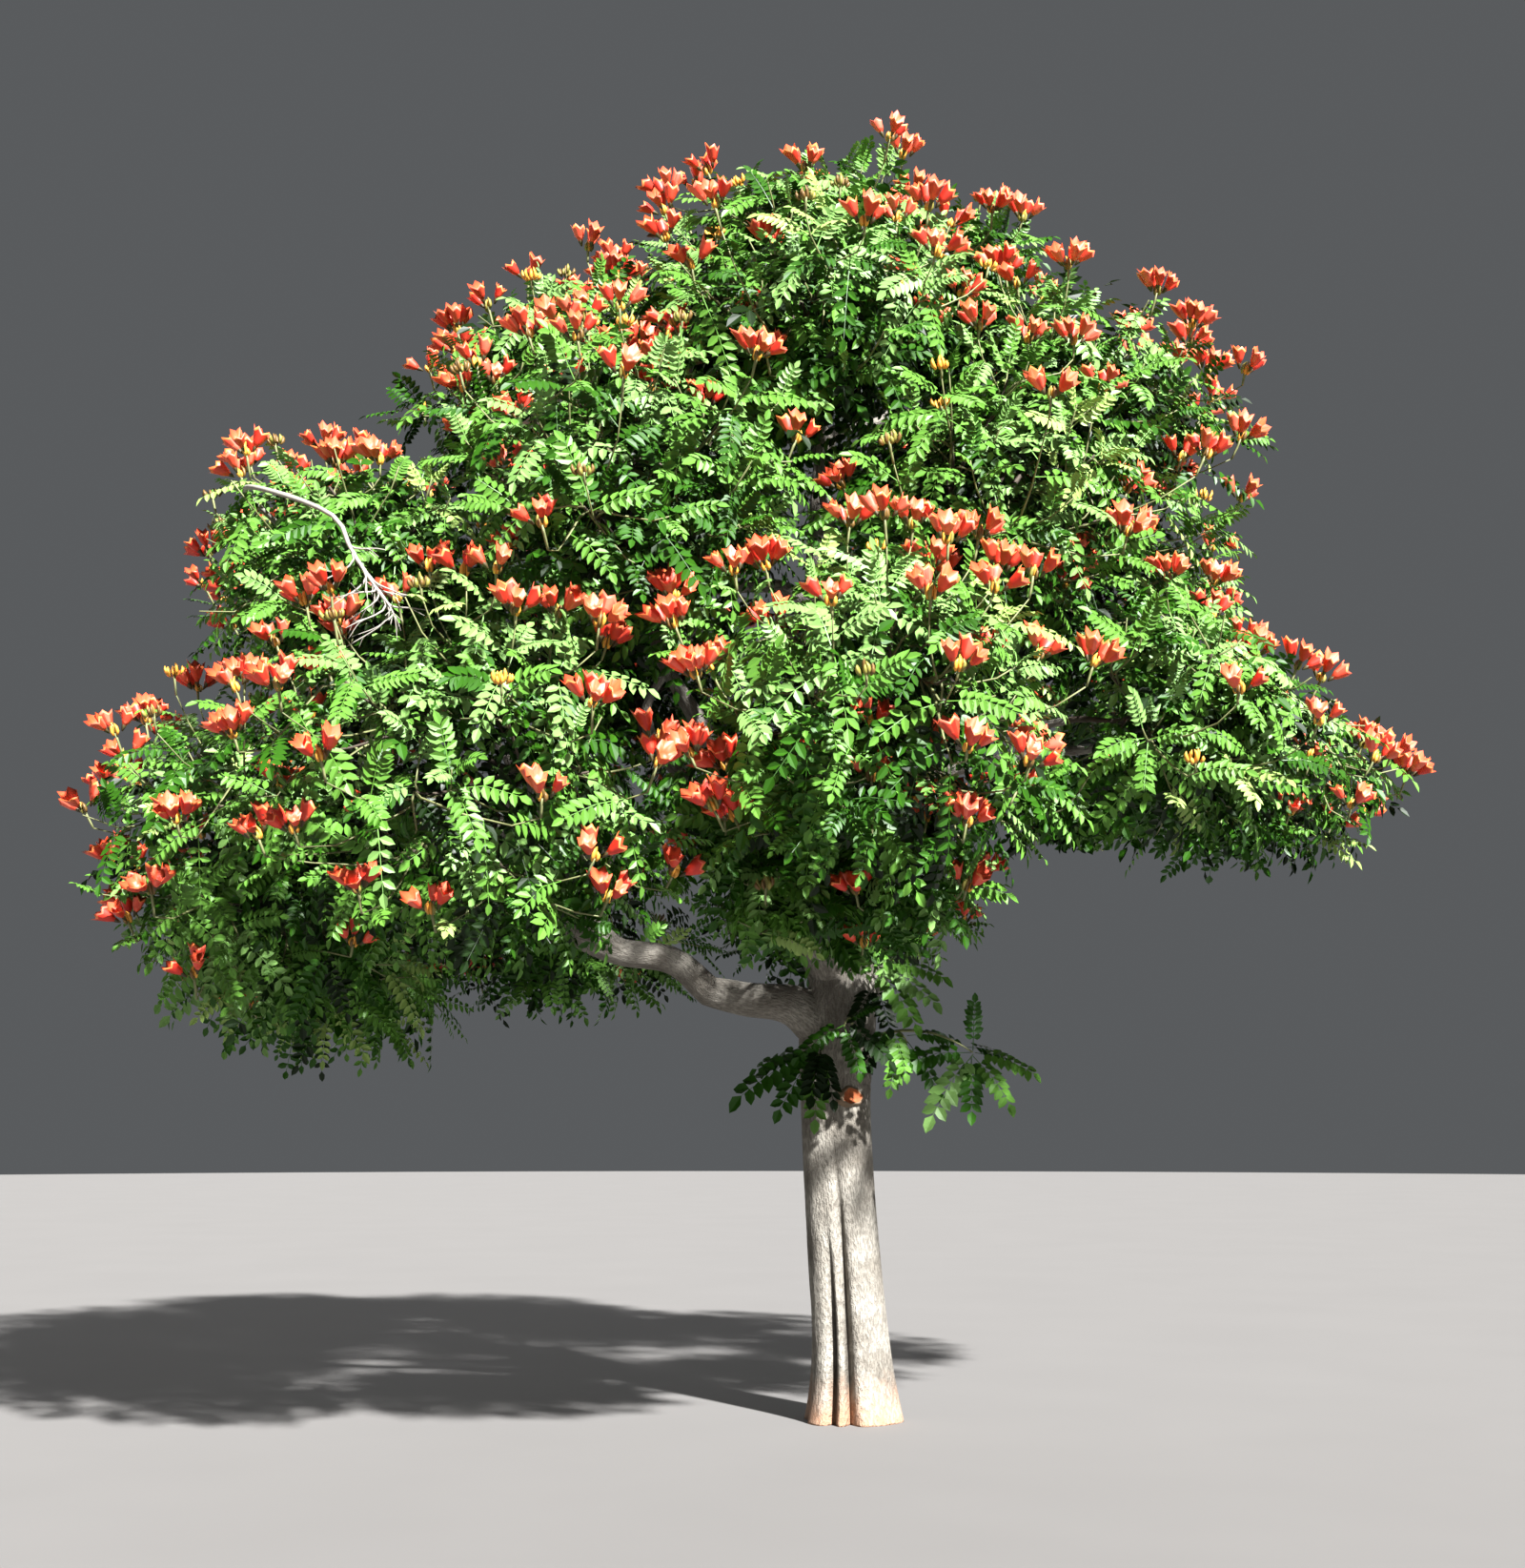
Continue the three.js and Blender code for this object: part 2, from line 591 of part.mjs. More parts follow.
// Leafy shoots from the trunk itself.
SHOOTS.forEach(({ name, from, direction, reach: out, z, radius }, k) => {
  const turn = rad(direction);
  const axis = trunkMiddle(from);
  const beside = (r, height) => point(axis.x + r * Math.cos(turn), axis.y + r * Math.sin(turn), height);
  const outward = point(Math.cos(turn), Math.sin(turn), SHOOT.rise).normalize();
  const m = {
    growth: SHOOT_GROWTH,
    seed: SHOOT.firstSeed + k,
    middle: beside(out, z),
    radius,
    flat: SHOOT.flat,
    outward,
    walls: [],
    leafSize: SHOOT.leafSize,
    stemFacing: outward,
    stemFrom: beside(trunkRadius(from, turn) - SHOOT.sunk, from),
    stemRadius: SHOOT.radius,
  };
  tree.add(toMesh(name, growMass(m, obstacles), foliage));
});

export default tree;
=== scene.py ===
"""African tulip tree in flower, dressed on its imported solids.

Metres, +Z up, and the front view looks along +Y. The rule that places the limbs and the masses of foliage
is the solids' own, written again here and carried on to finer twigs, leaves and heads of flower within the
same reach.
"""

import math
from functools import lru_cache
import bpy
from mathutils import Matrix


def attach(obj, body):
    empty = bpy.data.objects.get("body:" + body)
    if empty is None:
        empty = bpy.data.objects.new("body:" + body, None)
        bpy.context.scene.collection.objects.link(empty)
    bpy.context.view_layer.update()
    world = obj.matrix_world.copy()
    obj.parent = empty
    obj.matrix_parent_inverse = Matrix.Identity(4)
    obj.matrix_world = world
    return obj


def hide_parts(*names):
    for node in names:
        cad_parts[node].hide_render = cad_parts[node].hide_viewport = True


bl_info = {
    "name": "African Tulip Tree",
    "version": (1, 0, 0),
    "blender": (4, 5, 0),
    "location": "View3D > Sidebar > Tulip Tree",
    "description": "Dresses the solids of an african tulip tree with bark, leaves and heads of flower",
    "category": "Add Mesh",
}

from types import SimpleNamespace

import bpy
import numpy as np
from bpy.props import FloatProperty, FloatVectorProperty, IntProperty, PointerProperty
from mathutils import Vector

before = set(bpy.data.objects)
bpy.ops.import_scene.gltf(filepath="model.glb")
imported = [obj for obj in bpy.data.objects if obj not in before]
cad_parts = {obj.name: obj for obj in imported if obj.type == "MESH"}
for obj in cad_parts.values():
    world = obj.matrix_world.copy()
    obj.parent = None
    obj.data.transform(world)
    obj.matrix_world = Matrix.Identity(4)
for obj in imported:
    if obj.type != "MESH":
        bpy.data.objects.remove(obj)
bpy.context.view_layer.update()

TAU = 2 * math.pi
GOLDEN = math.pi * (3 - math.sqrt(5))
UP = np.array([0.0, 0.0, 1.0])
MM = 1000.0  # the rule of chance counts in millimetres

# Trunk, as in the solids: its taper, root flare, swelling under the low bough, lean and unevenness
TRUNK_HEIGHT = 2.55
TRUNK_RADIUS = 0.185
TRUNK_TOP_RADIUS = 0.118
FLARE = 0.086
FLARE_HEIGHT = 0.36
SWELLING = 0.022
SWELLING_HEIGHT = 2.08
SWELLING_SPREAD = 0.26
TRUNK_LEAN = -0.072
RETURN = 0.45
WAVER = 0.012
OUT_OF_ROUND = 0.035
# Grooves: direction in degrees, depth as a share of the radius, width in degrees and height of the upper end
GROOVES = ((243, 0.30, 7, 1.15), (267, 0.34, 8, 1.65), (30, 0.20, 18, 0.90), (118, 0.26, 16, 1.30),
           (185, 0.16, 16, 0.80))
# The crease at the bottom of a groove, sunk and darkened as painted shade: width in degrees, and share by
# which it deepens the groove
CREASE_WIDTH = 3.4
CREASE_DEPTH = 0.08
# Soil stain at the foot: height where it ends, height under which it is full, its share and raggedness
STAIN_TOP = 0.34
STAIN_FULL = 0.10
STAIN_SHARE = 0.55
STAIN_RAGGED = 0.16
# The wound of a cut branch: height, direction in degrees, and radius
SCAR_HEIGHT = 1.70
SCAR_TURN = 294
SCAR_RADIUS = 0.056

# Rings of foliage masses, as in the solids
TIERS = (
    dict(name="skirt", count=9, turn=0, middle=-0.46, half=(2.62, 2.10), z=3.30, rise=0.33, radius=1.32,
         taper=0.12, flat=0.82),
    dict(name="shoulder", count=7, turn=4, middle=-0.76, half=(1.97, 1.74), z=4.45, rise=0.09, radius=1.34,
         taper=0.0, flat=0.86),
    dict(name="brow", count=5, turn=54, middle=-0.19, half=(1.50, 1.34), z=5.40, rise=0.0, radius=1.23,
         taper=0.0, flat=0.88),
    dict(name="top", count=3, turn=20, middle=-0.11, half=(0.70, 0.65), z=6.23, rise=0.0, radius=1.06,
         taper=0.0, flat=0.84),
)
# The lowest ring is flat underneath, at these heights from left to right, and slopes down to its right tip
SOLE = (1.85, 2.25, 3.00)
SLOPE_X = 2.20
SLOPE_Z = 4.35
SLOPE_FALL = math.radians(34)
# Straight runs of the crown's outline: the ring that is cut, its direction across and up, and its distance
# from the origin
EDGES = (
    ("skirt", (-0.912, -0.410), 2.72),
    ("skirt", (0.559, 0.829), 4.68),
    ("brow", (-0.670, 0.742), 5.96),
    ("brow", (0.640, 0.768), 5.74),
)
# Runs of the outline in the front view: the ring or mass, and two places (across, up) on the upright plane
# through the trunk. The plane that holds a run and the camera's place cuts the ring.
SIGHTS = (
    ("skirt", (-3.76, 2.04), (-4.38, 2.85)),
    ("skirt", (-4.38, 2.85), (-4.41, 3.33)),
    ("skirt", (-4.36, 3.39), (-3.87, 4.32)),
    ("skirt", (2.28, 4.43), (3.19, 3.71)),
    ("skirt_2", (1.23, 3.01), (2.98, 3.08)),
    ("shoulder", (-3.80, 4.65), (-3.82, 5.10)),
    ("shoulder", (-3.82, 5.10), (-3.22, 5.78)),
    ("shoulder", (2.40, 4.65), (2.48, 5.90)),
    ("shoulder_5", (-3.54, 5.57), (-2.74, 5.45)),
    ("brow", (-2.75, 5.78), (-1.48, 6.94)),
    ("brow", (1.10, 7.06), (2.45, 5.95)),
    ("top", (-1.48, 6.94), (0.12, 7.40)),
    ("top", (0.12, 7.40), (1.10, 7.06)),
)
# Upright cuts of the whole crown: direction and distance from the origin
SIDES = (((-1, 0, 0), 4.02), ((0, 1, 0), 3.25))
# Unevenness of the masses' heights and radii, room between two masses, the place to the left of which the low
# bough carries them, and the share of its reach by which a mass's root lies inwards
RING_WAVER = 0.09
RING_UNEVEN = 0.1
SPACE_MARGIN = 0.014
LEFT_LOBE = -1.35
ROOT_DEPTH = 0.7

# Limbs, as in the solids: the gap between two lengths, radii at either end, and where a bough may leave
GAP = 0.0003
LEADER_RADII = (0.117, 0.044)
MAIN_RADII = (0.092, 0.036)
BOUGH_RADII = (0.046, 0.020)
LOW_RADII = (0.112, 0.082, 0.062)
SAMPLES = 24
FIRST_SAMPLE = 8
LEADER_LINE = ((-0.060, 0.040, 3.250), (-0.170, -0.060, 4.250), (-0.130, 0.030, 5.350))
LOW_NEAR_LINE = (
    (-0.060, 0.0, 2.030), (-0.300, -0.050, 2.190), (-0.560, -0.090, 2.225), (-0.760, -0.110, 2.265),
)
LOW_FAR_LINE = (
    (-0.960, -0.135, 2.430), (-1.250, -0.160, 2.480), (-1.500, -0.170, 2.590), (-1.760, -0.120, 2.800),
)

# Growth of a mass, as in the solids: how far round it the directions spread, where its stem forks, the stem's
# radius as a share of the bough's, and its taper, the number and reach of its branches, and how much a head
# of flower leans outwards
CAP = 1.45
FORK = 0.32
STEM_SEAT = 0.96
STEM_TAPER = 0.6
BRANCHES = 5
BRANCH_REACH = 0.34
UPRIGHT = 0.45
# Finer growth: how far the shoots about a mass's middle spread, size and pairs of leaflets of their leaves,
# the least pairs of leaflets of the others, and for a drape the share of shoots and the first seed
CORE_CAP = 1.9
CORE_LEAF = 1.35
CORE_PAIRS = 3
LEAST_PAIRS = 6
DRAPE_SHARE = 0.35
DRAPE_SEED = 41
# A shoot is an inner one where a neighbour leaves less than this share of the ellipsoid's reach
INNER = 0.88
# Share of heads on the lowest masses and on the highest, times the setting
HEADS_LOW_TO_HIGH = (1.5, 0.85)
# Radii from foot to tip: of branches and arms as shares of the stem's, and of finer twigs in metres
BRANCH_TAPER = (0.72, 0.42)
ARM_FOOT = 0.38
ARM_TIP = 0.006
SHOOT_RADII = (0.0075, 0.0038)
STALK_RADII = (0.0055, 0.0075)
TRUNK_TWIG_RADII = (0.011, 0.004)
BARE_TWIG_RADII = (0.0065, 0.0025)
BARE_TIP_RADII = (0.004, 0.0018)

# Young shoots on the trunk: the solid's name, twigs by four places each, and leaves by foot and tip
TRUNK_SHOOTS = {
    "trunk_shoot_right": (
        [((0.12, -0.10, 2.02), (0.36, -0.20, 2.10), (0.52, -0.28, 2.02), (0.65, -0.30, 1.93)),
         ((0.13, -0.12, 1.96), (0.22, -0.24, 2.08), (0.27, -0.28, 2.06), (0.30, -0.30, 1.98))],
        [((0.65, -0.30, 1.94), (0.66, -0.34, 2.19)), ((0.64, -0.31, 1.93), (0.27, -0.40, 1.86)),
         ((0.66, -0.30, 1.93), (0.96, -0.36, 1.82)), ((0.65, -0.32, 1.92), (0.42, -0.46, 1.60)),
         ((0.65, -0.30, 1.91), (0.82, -0.44, 1.66)), ((0.64, -0.31, 1.91), (0.62, -0.48, 1.62)),
         ((0.62, -0.28, 1.96), (0.86, -0.10, 1.90)), ((0.30, -0.30, 1.99), (0.46, -0.36, 1.72)),
         ((0.29, -0.30, 2.00), (0.20, -0.42, 1.74)), ((0.30, -0.29, 2.02), (0.56, -0.20, 2.00)),
         ((0.16, -0.16, 2.40), (0.44, -0.30, 2.20)), ((0.15, -0.16, 2.38), (0.34, -0.34, 2.08)),
         ((0.16, -0.15, 2.42), (0.50, -0.18, 2.34))],
    ),
    "trunk_shoot_left": (
        [((-0.02, -0.14, 1.98), (-0.05, -0.34, 2.10), (-0.13, -0.44, 2.02), (-0.18, -0.46, 1.90)),
         ((0.02, -0.15, 1.96), (0.02, -0.32, 2.14), (-0.02, -0.40, 2.14), (-0.04, -0.42, 2.06))],
        [((-0.18, -0.46, 1.93), (-0.58, -0.52, 1.70)), ((-0.18, -0.46, 1.92), (-0.38, -0.62, 1.63)),
         ((-0.18, -0.46, 1.92), (-0.20, -0.62, 1.58)), ((-0.17, -0.46, 1.94), (-0.11, -0.68, 1.68)),
         ((-0.17, -0.46, 1.94), (-0.50, -0.38, 1.84)), ((-0.16, -0.46, 1.95), (-0.22, -0.70, 1.70)),
         ((-0.04, -0.42, 2.07), (-0.28, -0.50, 1.90)), ((-0.04, -0.42, 2.06), (0.03, -0.56, 1.82)),
         ((-0.03, -0.42, 2.07), (0.19, -0.50, 1.88)), ((-0.02, -0.40, 2.09), (0.12, -0.46, 2.16)),
         ((0.20, -0.23, 2.05), (0.06, -0.42, 1.84)), ((0.22, -0.25, 2.06), (0.28, -0.44, 1.82)),
         ((0.13, -0.17, 2.28), (0.02, -0.38, 2.08)), ((0.14, -0.17, 2.28), (0.20, -0.40, 2.06)),
         ((0.18, -0.20, 2.04), (0.14, -0.40, 1.98))],
    ),
}

# Where the crown is open and its limbs show: middle and half sizes
OPENINGS = (
    ((-0.98, -1.80, 3.40), (0.22, 0.90, 0.26)),
    ((-0.05, -1.60, 4.92), (0.24, 0.70, 0.22)),
    ((-1.16, -1.70, 4.83), (0.22, 0.60, 0.15)),
    ((1.13, -1.60, 3.50), (0.20, 0.80, 0.26)),
)
HEAD_CEILING = 6.70  # highest tip of a shoot that bears a head
CROWN_MIDDLE = np.array([-0.5, 0.0, 3.8])
SUNWARD = np.array([0.53, -0.85, 0.0])  # the side to which the leaves turn a little

# Pale bare branch at the left front, and its radii at either end
BARE_BRANCH = ((-2.72, -0.55, 4.45), (-3.08, -1.25, 4.70), (-2.894, -1.75, 4.588), (-2.476, -2.00, 4.364),
               (-2.382, -2.08, 4.184), (-2.186, -2.14, 3.900))
BARE_RADII = (0.018, 0.009)
# Places among the twigs at its end, seen from the end, and length and radius of the room without leaves
BARE_END = ((-0.12, 0, -0.04), (0.12, 0, -0.04), (0, 0, -0.13), (0.09, 0, -0.15))
BARE_PASSAGE = (0.9, 0.075)
# Small masses that hang over the fork in front: the limb and its share, middle, radius and flatness
DRAPES = (
    ("limb_4", 0.22, (-0.62, -1.60, 3.06), 0.46, 1.30),
    ("limb_4", 0.16, (-0.38, -1.55, 2.59), 0.44, 0.80),
    ("limb_5", 0.16, (0.20, -1.60, 2.68), 0.52, 0.80),
    ("limb_5", 0.30, (-0.02, -1.85, 3.14), 0.50, 1.10),
    ("limb_5", 0.10, (0.04, -0.66, 2.56), 0.50, 0.56),
)

# Camera at eye height, pitched up by degrees, with its lens and sensor in millimetres
CAMERA_PLACE = (-0.471, -11.385, 1.55)
CAMERA_PITCH = 9.37
CAMERA_LENS = 47.42
SENSOR_WIDTH = 36
# Soft lights: softness, height above level and direction, in degrees
FILL_LIGHT = (50, 22, -118)
BACK_LIGHT = (60, 30, 110)
FLOOR_POINTS = 96


def chance(a, b=0.0, c=0.0):
    """A repeatable number from 0 to 1 for three counters: the fraction of a large sine."""
    n = np.sin(a * 12.9898 + b * 78.233 + c * 37.719) * 43758.5453
    return n - np.floor(n)


def unit(v):
    """The vectors in v, each divided by its length."""
    return v / np.maximum(np.linalg.norm(v, axis=-1, keepdims=True), 1e-12)


def mix(a, b, t):
    """a at t = 0, b at t = 1 and an even blend between."""
    return a + (b - a) * t


def smooth(x, low, high):
    """0 below low, 1 above high and 3t^2 - 2t^3 between."""
    t = np.clip((x - low) / (high - low), 0, 1)
    return t * t * (3 - 2 * t)


def noise(p, seed):
    """Value noise: a number of chance at each whole corner, blended by 3f^2 - 2f^3 of the fraction f."""
    base = np.floor(p)
    f = p - base
    f = f * f * (3 - 2 * f)
    total = np.zeros(p.shape[:-1])
    for corner in np.ndindex(2, 2, 2):
        share = np.prod(np.where(corner, f, 1 - f), axis=-1)
        at = base + corner
        total += share * chance(at[..., 0] + 17 * seed, at[..., 1], at[..., 2])
    return total


def layered(p, layers, seed):
    """Noise at doubling frequencies and halving heights, from 0 to 1."""
    heights = 0.5 ** np.arange(layers)
    total = sum(h * noise(p * 2 ** k, seed + k) for k, h in enumerate(heights))
    return total / heights.sum()


def srgb(red, green, blue):
    """A screen colour of 0 to 255 as linear light."""
    c = np.array([red, green, blue]) / 255
    return tuple(np.where(c <= 0.04045, c / 12.92, ((c + 0.055) / 1.055) ** 2.4))


# Trunk and limbs


def trunk_middle(z):
    """Middle of the trunk's level section at height z: it leans left, then turns part of the way back."""
    z = np.asarray(z, float)
    lean = TRUNK_LEAN * (smooth(z, 0, 1.7) - RETURN * smooth(z, 1.75, 2.4))
    return np.stack([lean, WAVER * np.sin(z / 0.7), z], axis=-1)


def trunk_radius(z, angle):
    """Radius = taper + root flare + swelling, times 1 less the grooves that run down between the roots."""
    plain = mix(TRUNK_RADIUS, TRUNK_TOP_RADIUS, smooth(z, 2.15, TRUNK_HEIGHT))
    plain = plain + FLARE * np.exp(-z / FLARE_HEIGHT)
    plain = plain + SWELLING * np.exp(-(((z - SWELLING_HEIGHT) / SWELLING_SPREAD) ** 2))
    share = 1 + OUT_OF_ROUND * np.cos(3 * angle + z / 0.9)
    for at, depth, width, top in GROOVES:
        off = angle - math.radians(at)
        off = np.arctan2(np.sin(off), np.cos(off))
        fade = 1 - smooth(z, 0.25 * top, top)
        share = share - depth * fade * np.exp(-((off / math.radians(width)) ** 2))
    return plain * share


def trunk_crease(z, angle):
    """Share by which a place on the trunk lies in the narrow crease at the bottom of a groove, which is sunk
    and darkened as painted shade.
    """
    share = 0
    for at, depth, _, top in GROOVES:
        off = angle - math.radians(at) - 0.05 * np.sin(z * 5 + at)
        off = np.arctan2(np.sin(off), np.cos(off))
        fade = 1 - smooth(z, 0.5 * top, 1.1 * top)
        share = share + 3 * depth * fade * np.exp(-((off / math.radians(CREASE_WIDTH)) ** 2))
    return np.clip(share, 0, 1)


def through(points):
    """A centripetal Catmull-Rom curve through points, as a fine line of points."""
    p = np.array(points, float)
    p = np.vstack([2 * p[0] - p[1], p, 2 * p[-1] - p[-2]])
    pieces = []
    for p0, p1, p2, p3 in zip(p, p[1:], p[2:], p[3:]):
        d0, d1, d2 = (np.sqrt(np.linalg.norm(b - a)) for a, b in ((p0, p1), (p1, p2), (p2, p3)))
        m1 = ((p1 - p0) / d0 - (p2 - p0) / (d0 + d1) + (p2 - p1) / d1) * d1
        m2 = ((p2 - p1) / d1 - (p3 - p1) / (d1 + d2) + (p3 - p2) / d2) * d1
        t = np.linspace(0, 1, 80)[:-1, None]
        square = 3 * (p2 - p1) - 2 * m1 - m2
        cube = 2 * (p1 - p2) + m1 + m2
        pieces.append(p1 + m1 * t + square * t ** 2 + cube * t ** 3)
    return np.vstack(pieces + [p[-2]])


class Limb:
    """A tapering limb along a curve: places and radii by the share t of its length."""

    def __init__(self, name, points, radii):
        self.name = name
        self.line = through(points)
        along = np.concatenate([[0], np.cumsum(np.linalg.norm(np.diff(self.line, axis=0), axis=1))])
        self.length = along[-1]
        self.shares = along / self.length
        self.radii = radii
        self.phase = MM * points[0][2]
        self.taken = []

    def at(self, t):
        return np.stack([np.interp(t, self.shares, self.line[:, axis]) for axis in range(3)], axis=-1)

    def facing(self, t):
        return unit(self.at(np.minimum(t + 1e-3, 1)) - self.at(np.maximum(t - 1e-3, 0)))

    def radius(self, t):
        return mix(self.radii[0], self.radii[1], t) * (1 + 0.04 * np.sin(9 * t + self.phase))


def ring_masses():
    """Masses of foliage ring by ring: middles on an ellipse, with a slightly uneven height and radius."""
    masses = []
    for tier in TIERS:
        level = round(tier["z"] * MM)
        for k in range(tier["count"]):
            angle = math.radians(tier["turn"] + 360 * k / tier["count"])
            cos, sin = math.cos(angle), math.sin(angle)
            height = tier["z"] + tier["rise"] * cos + RING_WAVER * (chance(k, level, 1) - 0.5)
            uneven = 1 + RING_UNEVEN * (chance(k, level, 2) - 0.5)
            masses.append(SimpleNamespace(
                name=f"{tier['name']}_{k + 1}",
                tier=tier["name"],
                seed=len(masses) + 1,
                middle=np.array([tier["middle"] + tier["half"][0] * cos, tier["half"][1] * sin, height]),
                radius=tier["radius"] * (1 - tier["taper"] * cos) * uneven,
                flat=tier["flat"],
                outward=unit(np.array([cos, sin, mix(-0.2, 2.2, smooth(tier["z"], 3, 6))])),
            ))
    return masses


def make_spaces(masses):
    """Walls of each mass: planes between it and its neighbours, weighed by radius, and the outline's cuts."""
    for m in masses:
        others = [o for o in masses
                  if o is not m and np.linalg.norm(o.middle - m.middle) < o.radius + m.radius]
        ways = np.array([o.middle - m.middle for o in others])
        d = np.linalg.norm(ways, axis=1)
        radii = np.array([o.radius for o in others])
        m.trims, m.trim_offs = trims(m) if m.tier == TIERS[0]["name"] else (np.empty((0, 3)), np.empty(0))
        m.walls = np.concatenate([ways / d[:, None], m.trims])
        m.offs = np.append((d ** 2 + m.radius ** 2 - radii ** 2) / (2 * d) - SPACE_MARGIN, m.trim_offs)
        m.root = m.middle - m.outward * ROOT_DEPTH * reach(m, -m.outward)
    eye = np.array(CAMERA_PLACE)
    for m in masses:
        rows = [(unit(np.array([x, 0, z])), off) for ring, (x, z), off in EDGES if ring == m.tier]
        rows += [(np.array(facing), off) for facing, off in SIDES]
        for a, b in [run[1:] for run in SIGHTS if run[0] in (m.tier, m.name)]:
            facing = unit(np.cross(np.array([a[0], 0, a[1]]) - eye, np.array([b[0], 0, b[1]]) - eye))
            facing = facing * -np.sign(facing @ (CROWN_MIDDLE - eye))
            rows.append((facing, facing @ eye))
        m.cuts = np.array([row[0] for row in rows])
        m.cut_offs = np.array([row[1] - row[0] @ m.middle for row in rows])
        m.between = len(m.offs)
        m.walls = np.concatenate([m.walls, m.cuts])
        m.offs = np.append(m.offs, m.cut_offs)


def trims(m):
    """Flat cuts of a mass in the lowest ring: its sole, and the slope down to the right tip."""
    across = (1 + m.outward[0] / math.hypot(m.outward[0], m.outward[1])) / 2
    left, middle, right = SOLE
    sole = left + (middle - left) * smooth(across, 0, 0.25) + (right - middle) * smooth(across, 0.5, 0.95)
    facing = np.array([math.sin(SLOPE_FALL), 0, math.cos(SLOPE_FALL)])
    slope = np.array([SLOPE_X, m.middle[1], SLOPE_Z]) - m.middle
    return np.stack([-UP, facing]), np.array([m.middle[2] - sole, facing @ slope])


def own_reach(m, direction):
    """Distance from a mass's middle to its flattened ellipsoid."""
    scaled = direction * np.array([1, 1, 1 / m.flat])
    return m.radius / np.linalg.norm(scaled, axis=-1)


def reach(m, direction, count=None):
    """Distance from a mass's middle to the edge of its space: the ellipsoid's, or the nearest wall's.

    With a count, only so many walls are looked at: those to neighbours, the sole and the slope come first.
    """
    if not len(m.offs):
        return own_reach(m, direction)
    towards = direction @ m.walls[:count].T
    walls = np.where(towards > 1e-6, m.offs[:count] / np.maximum(towards, 1e-6), np.inf)
    return np.minimum(own_reach(m, direction), walls.min(axis=-1))


def spiral(m, count, turn, cap=CAP):
    """Directions over a mass's outer cap, on a golden spiral about its outward direction."""
    k = np.arange(count)
    height = 1 - cap * (k + 0.5) / count
    flatness = np.sqrt(1 - height ** 2)
    across = np.array([1.0, 0, 0]) if abs(m.outward[2]) > 0.9 else UP
    side = unit(np.cross(m.outward, across))
    other = np.cross(m.outward, side)
    angle = k * GOLDEN + turn
    return (height[:, None] * m.outward + (flatness * np.cos(angle))[:, None] * side
            + (flatness * np.sin(angle))[:, None] * other)


def main_limb(m, k):
    """A limb from the trunk's crotch up to the root of a mass on the shoulder."""
    foot = trunk_middle(2.12 + 0.06 * k)
    turn = math.atan2(m.root[1], m.root[0])

    def out(r, z):
        return np.array([foot[0] + r * math.cos(turn), r * math.sin(turn), z])

    half = 0.55 * math.hypot(m.root[0], m.root[1])
    points = [foot, out(0.230, foot[2] + 0.330), out(half, mix(foot[2], m.root[2], 0.62)), m.root]
    return Limb(f"limb_{k + 1}", points, MAIN_RADII)


def bough(m, limbs):
    """A bough from the best place on a limb: short, climbing, onwards and away from other boughs."""
    best = None
    for limb in limbs:
        for i in range(FIRST_SAMPLE, SAMPLES + 1):
            way = m.root - limb.at(i / SAMPLES)
            length = np.linalg.norm(way)
            climb = way[2] / max(math.hypot(way[0], way[1]), 1e-3)
            onwards = limb.facing(i / SAMPLES) @ way / length
            crowd = sum(abs(j - i) < 5 for j in limb.taken)
            cost = length * (1 + 1.6 * max(0, 0.3 - climb)) * (1.4 - 0.4 * onwards) * (1 + 0.3 * crowd)
            if best is None or cost < best[0]:
                best = (cost, limb, i)
    limb, i = best[1:]
    limb.taken.append(i)
    t = i / SAMPLES
    on = limb.facing(t)
    start = limb.at(t) + on * (GAP if i == SAMPLES else 0)
    length = np.linalg.norm(m.root - start)
    leave = mix(start + 0.24 * length * on, mix(start, m.root, 0.33), 0.45)
    arrive = mix(m.root - 0.3 * length * m.outward, mix(start, m.root, 0.67), 0.5)
    radii = (min(BOUGH_RADII[0], 0.85 * limb.radius(t)), BOUGH_RADII[1])
    return Limb(f"bough_{m.name}", [start, leave, arrive, m.root], radii)


@lru_cache(maxsize=1)
def skeleton():
    """All limbs by name, and the masses of foliage with the limb that carries each."""
    masses = ring_masses()
    make_spaces(masses)
    leader = Limb("leader", [trunk_middle(TRUNK_HEIGHT) + UP * GAP, *LEADER_LINE], LEADER_RADII)
    near = Limb("low_bough_near", LOW_NEAR_LINE, LOW_RADII[:2])
    far = Limb("low_bough_far", [near.at(1.0) + near.facing(1.0) * GAP, *LOW_FAR_LINE], LOW_RADII[1:])
    limbs = [leader, near, far]
    on_main = [m for m in masses if m.tier == "shoulder" and m.middle[0] > LEFT_LOBE]
    for k, m in enumerate(on_main):
        m.limb = main_limb(m, k)
        limbs.append(m.limb)
    carriers = [limb for limb in limbs if limb not in (near, far)]
    for m in masses:
        if not hasattr(m, "limb"):
            low = m.middle[0] < LEFT_LOBE and m.tier != "brow"
            m.limb = bough(m, [far] if low else carriers)
            limbs.append(m.limb)
    return {limb.name: limb for limb in limbs}, masses


# Meshes from arrays


def ring_walls(index):
    """Quads between neighbouring rings of points, from the points' numbers (..., rows, sides)."""
    turned = np.roll(index, -1, axis=-1)
    corners = [index[..., :-1, :], turned[..., :-1, :], turned[..., 1:, :], index[..., 1:, :]]
    return np.stack(corners, axis=-1).reshape(-1, 4)


def spokes(angle, side, other):
    """Directions cos a side + sin a other, for angles (n, k) about an axis square to side and other."""
    return np.cos(angle)[..., None] * side[:, None] + np.sin(angle)[..., None] * other[:, None]


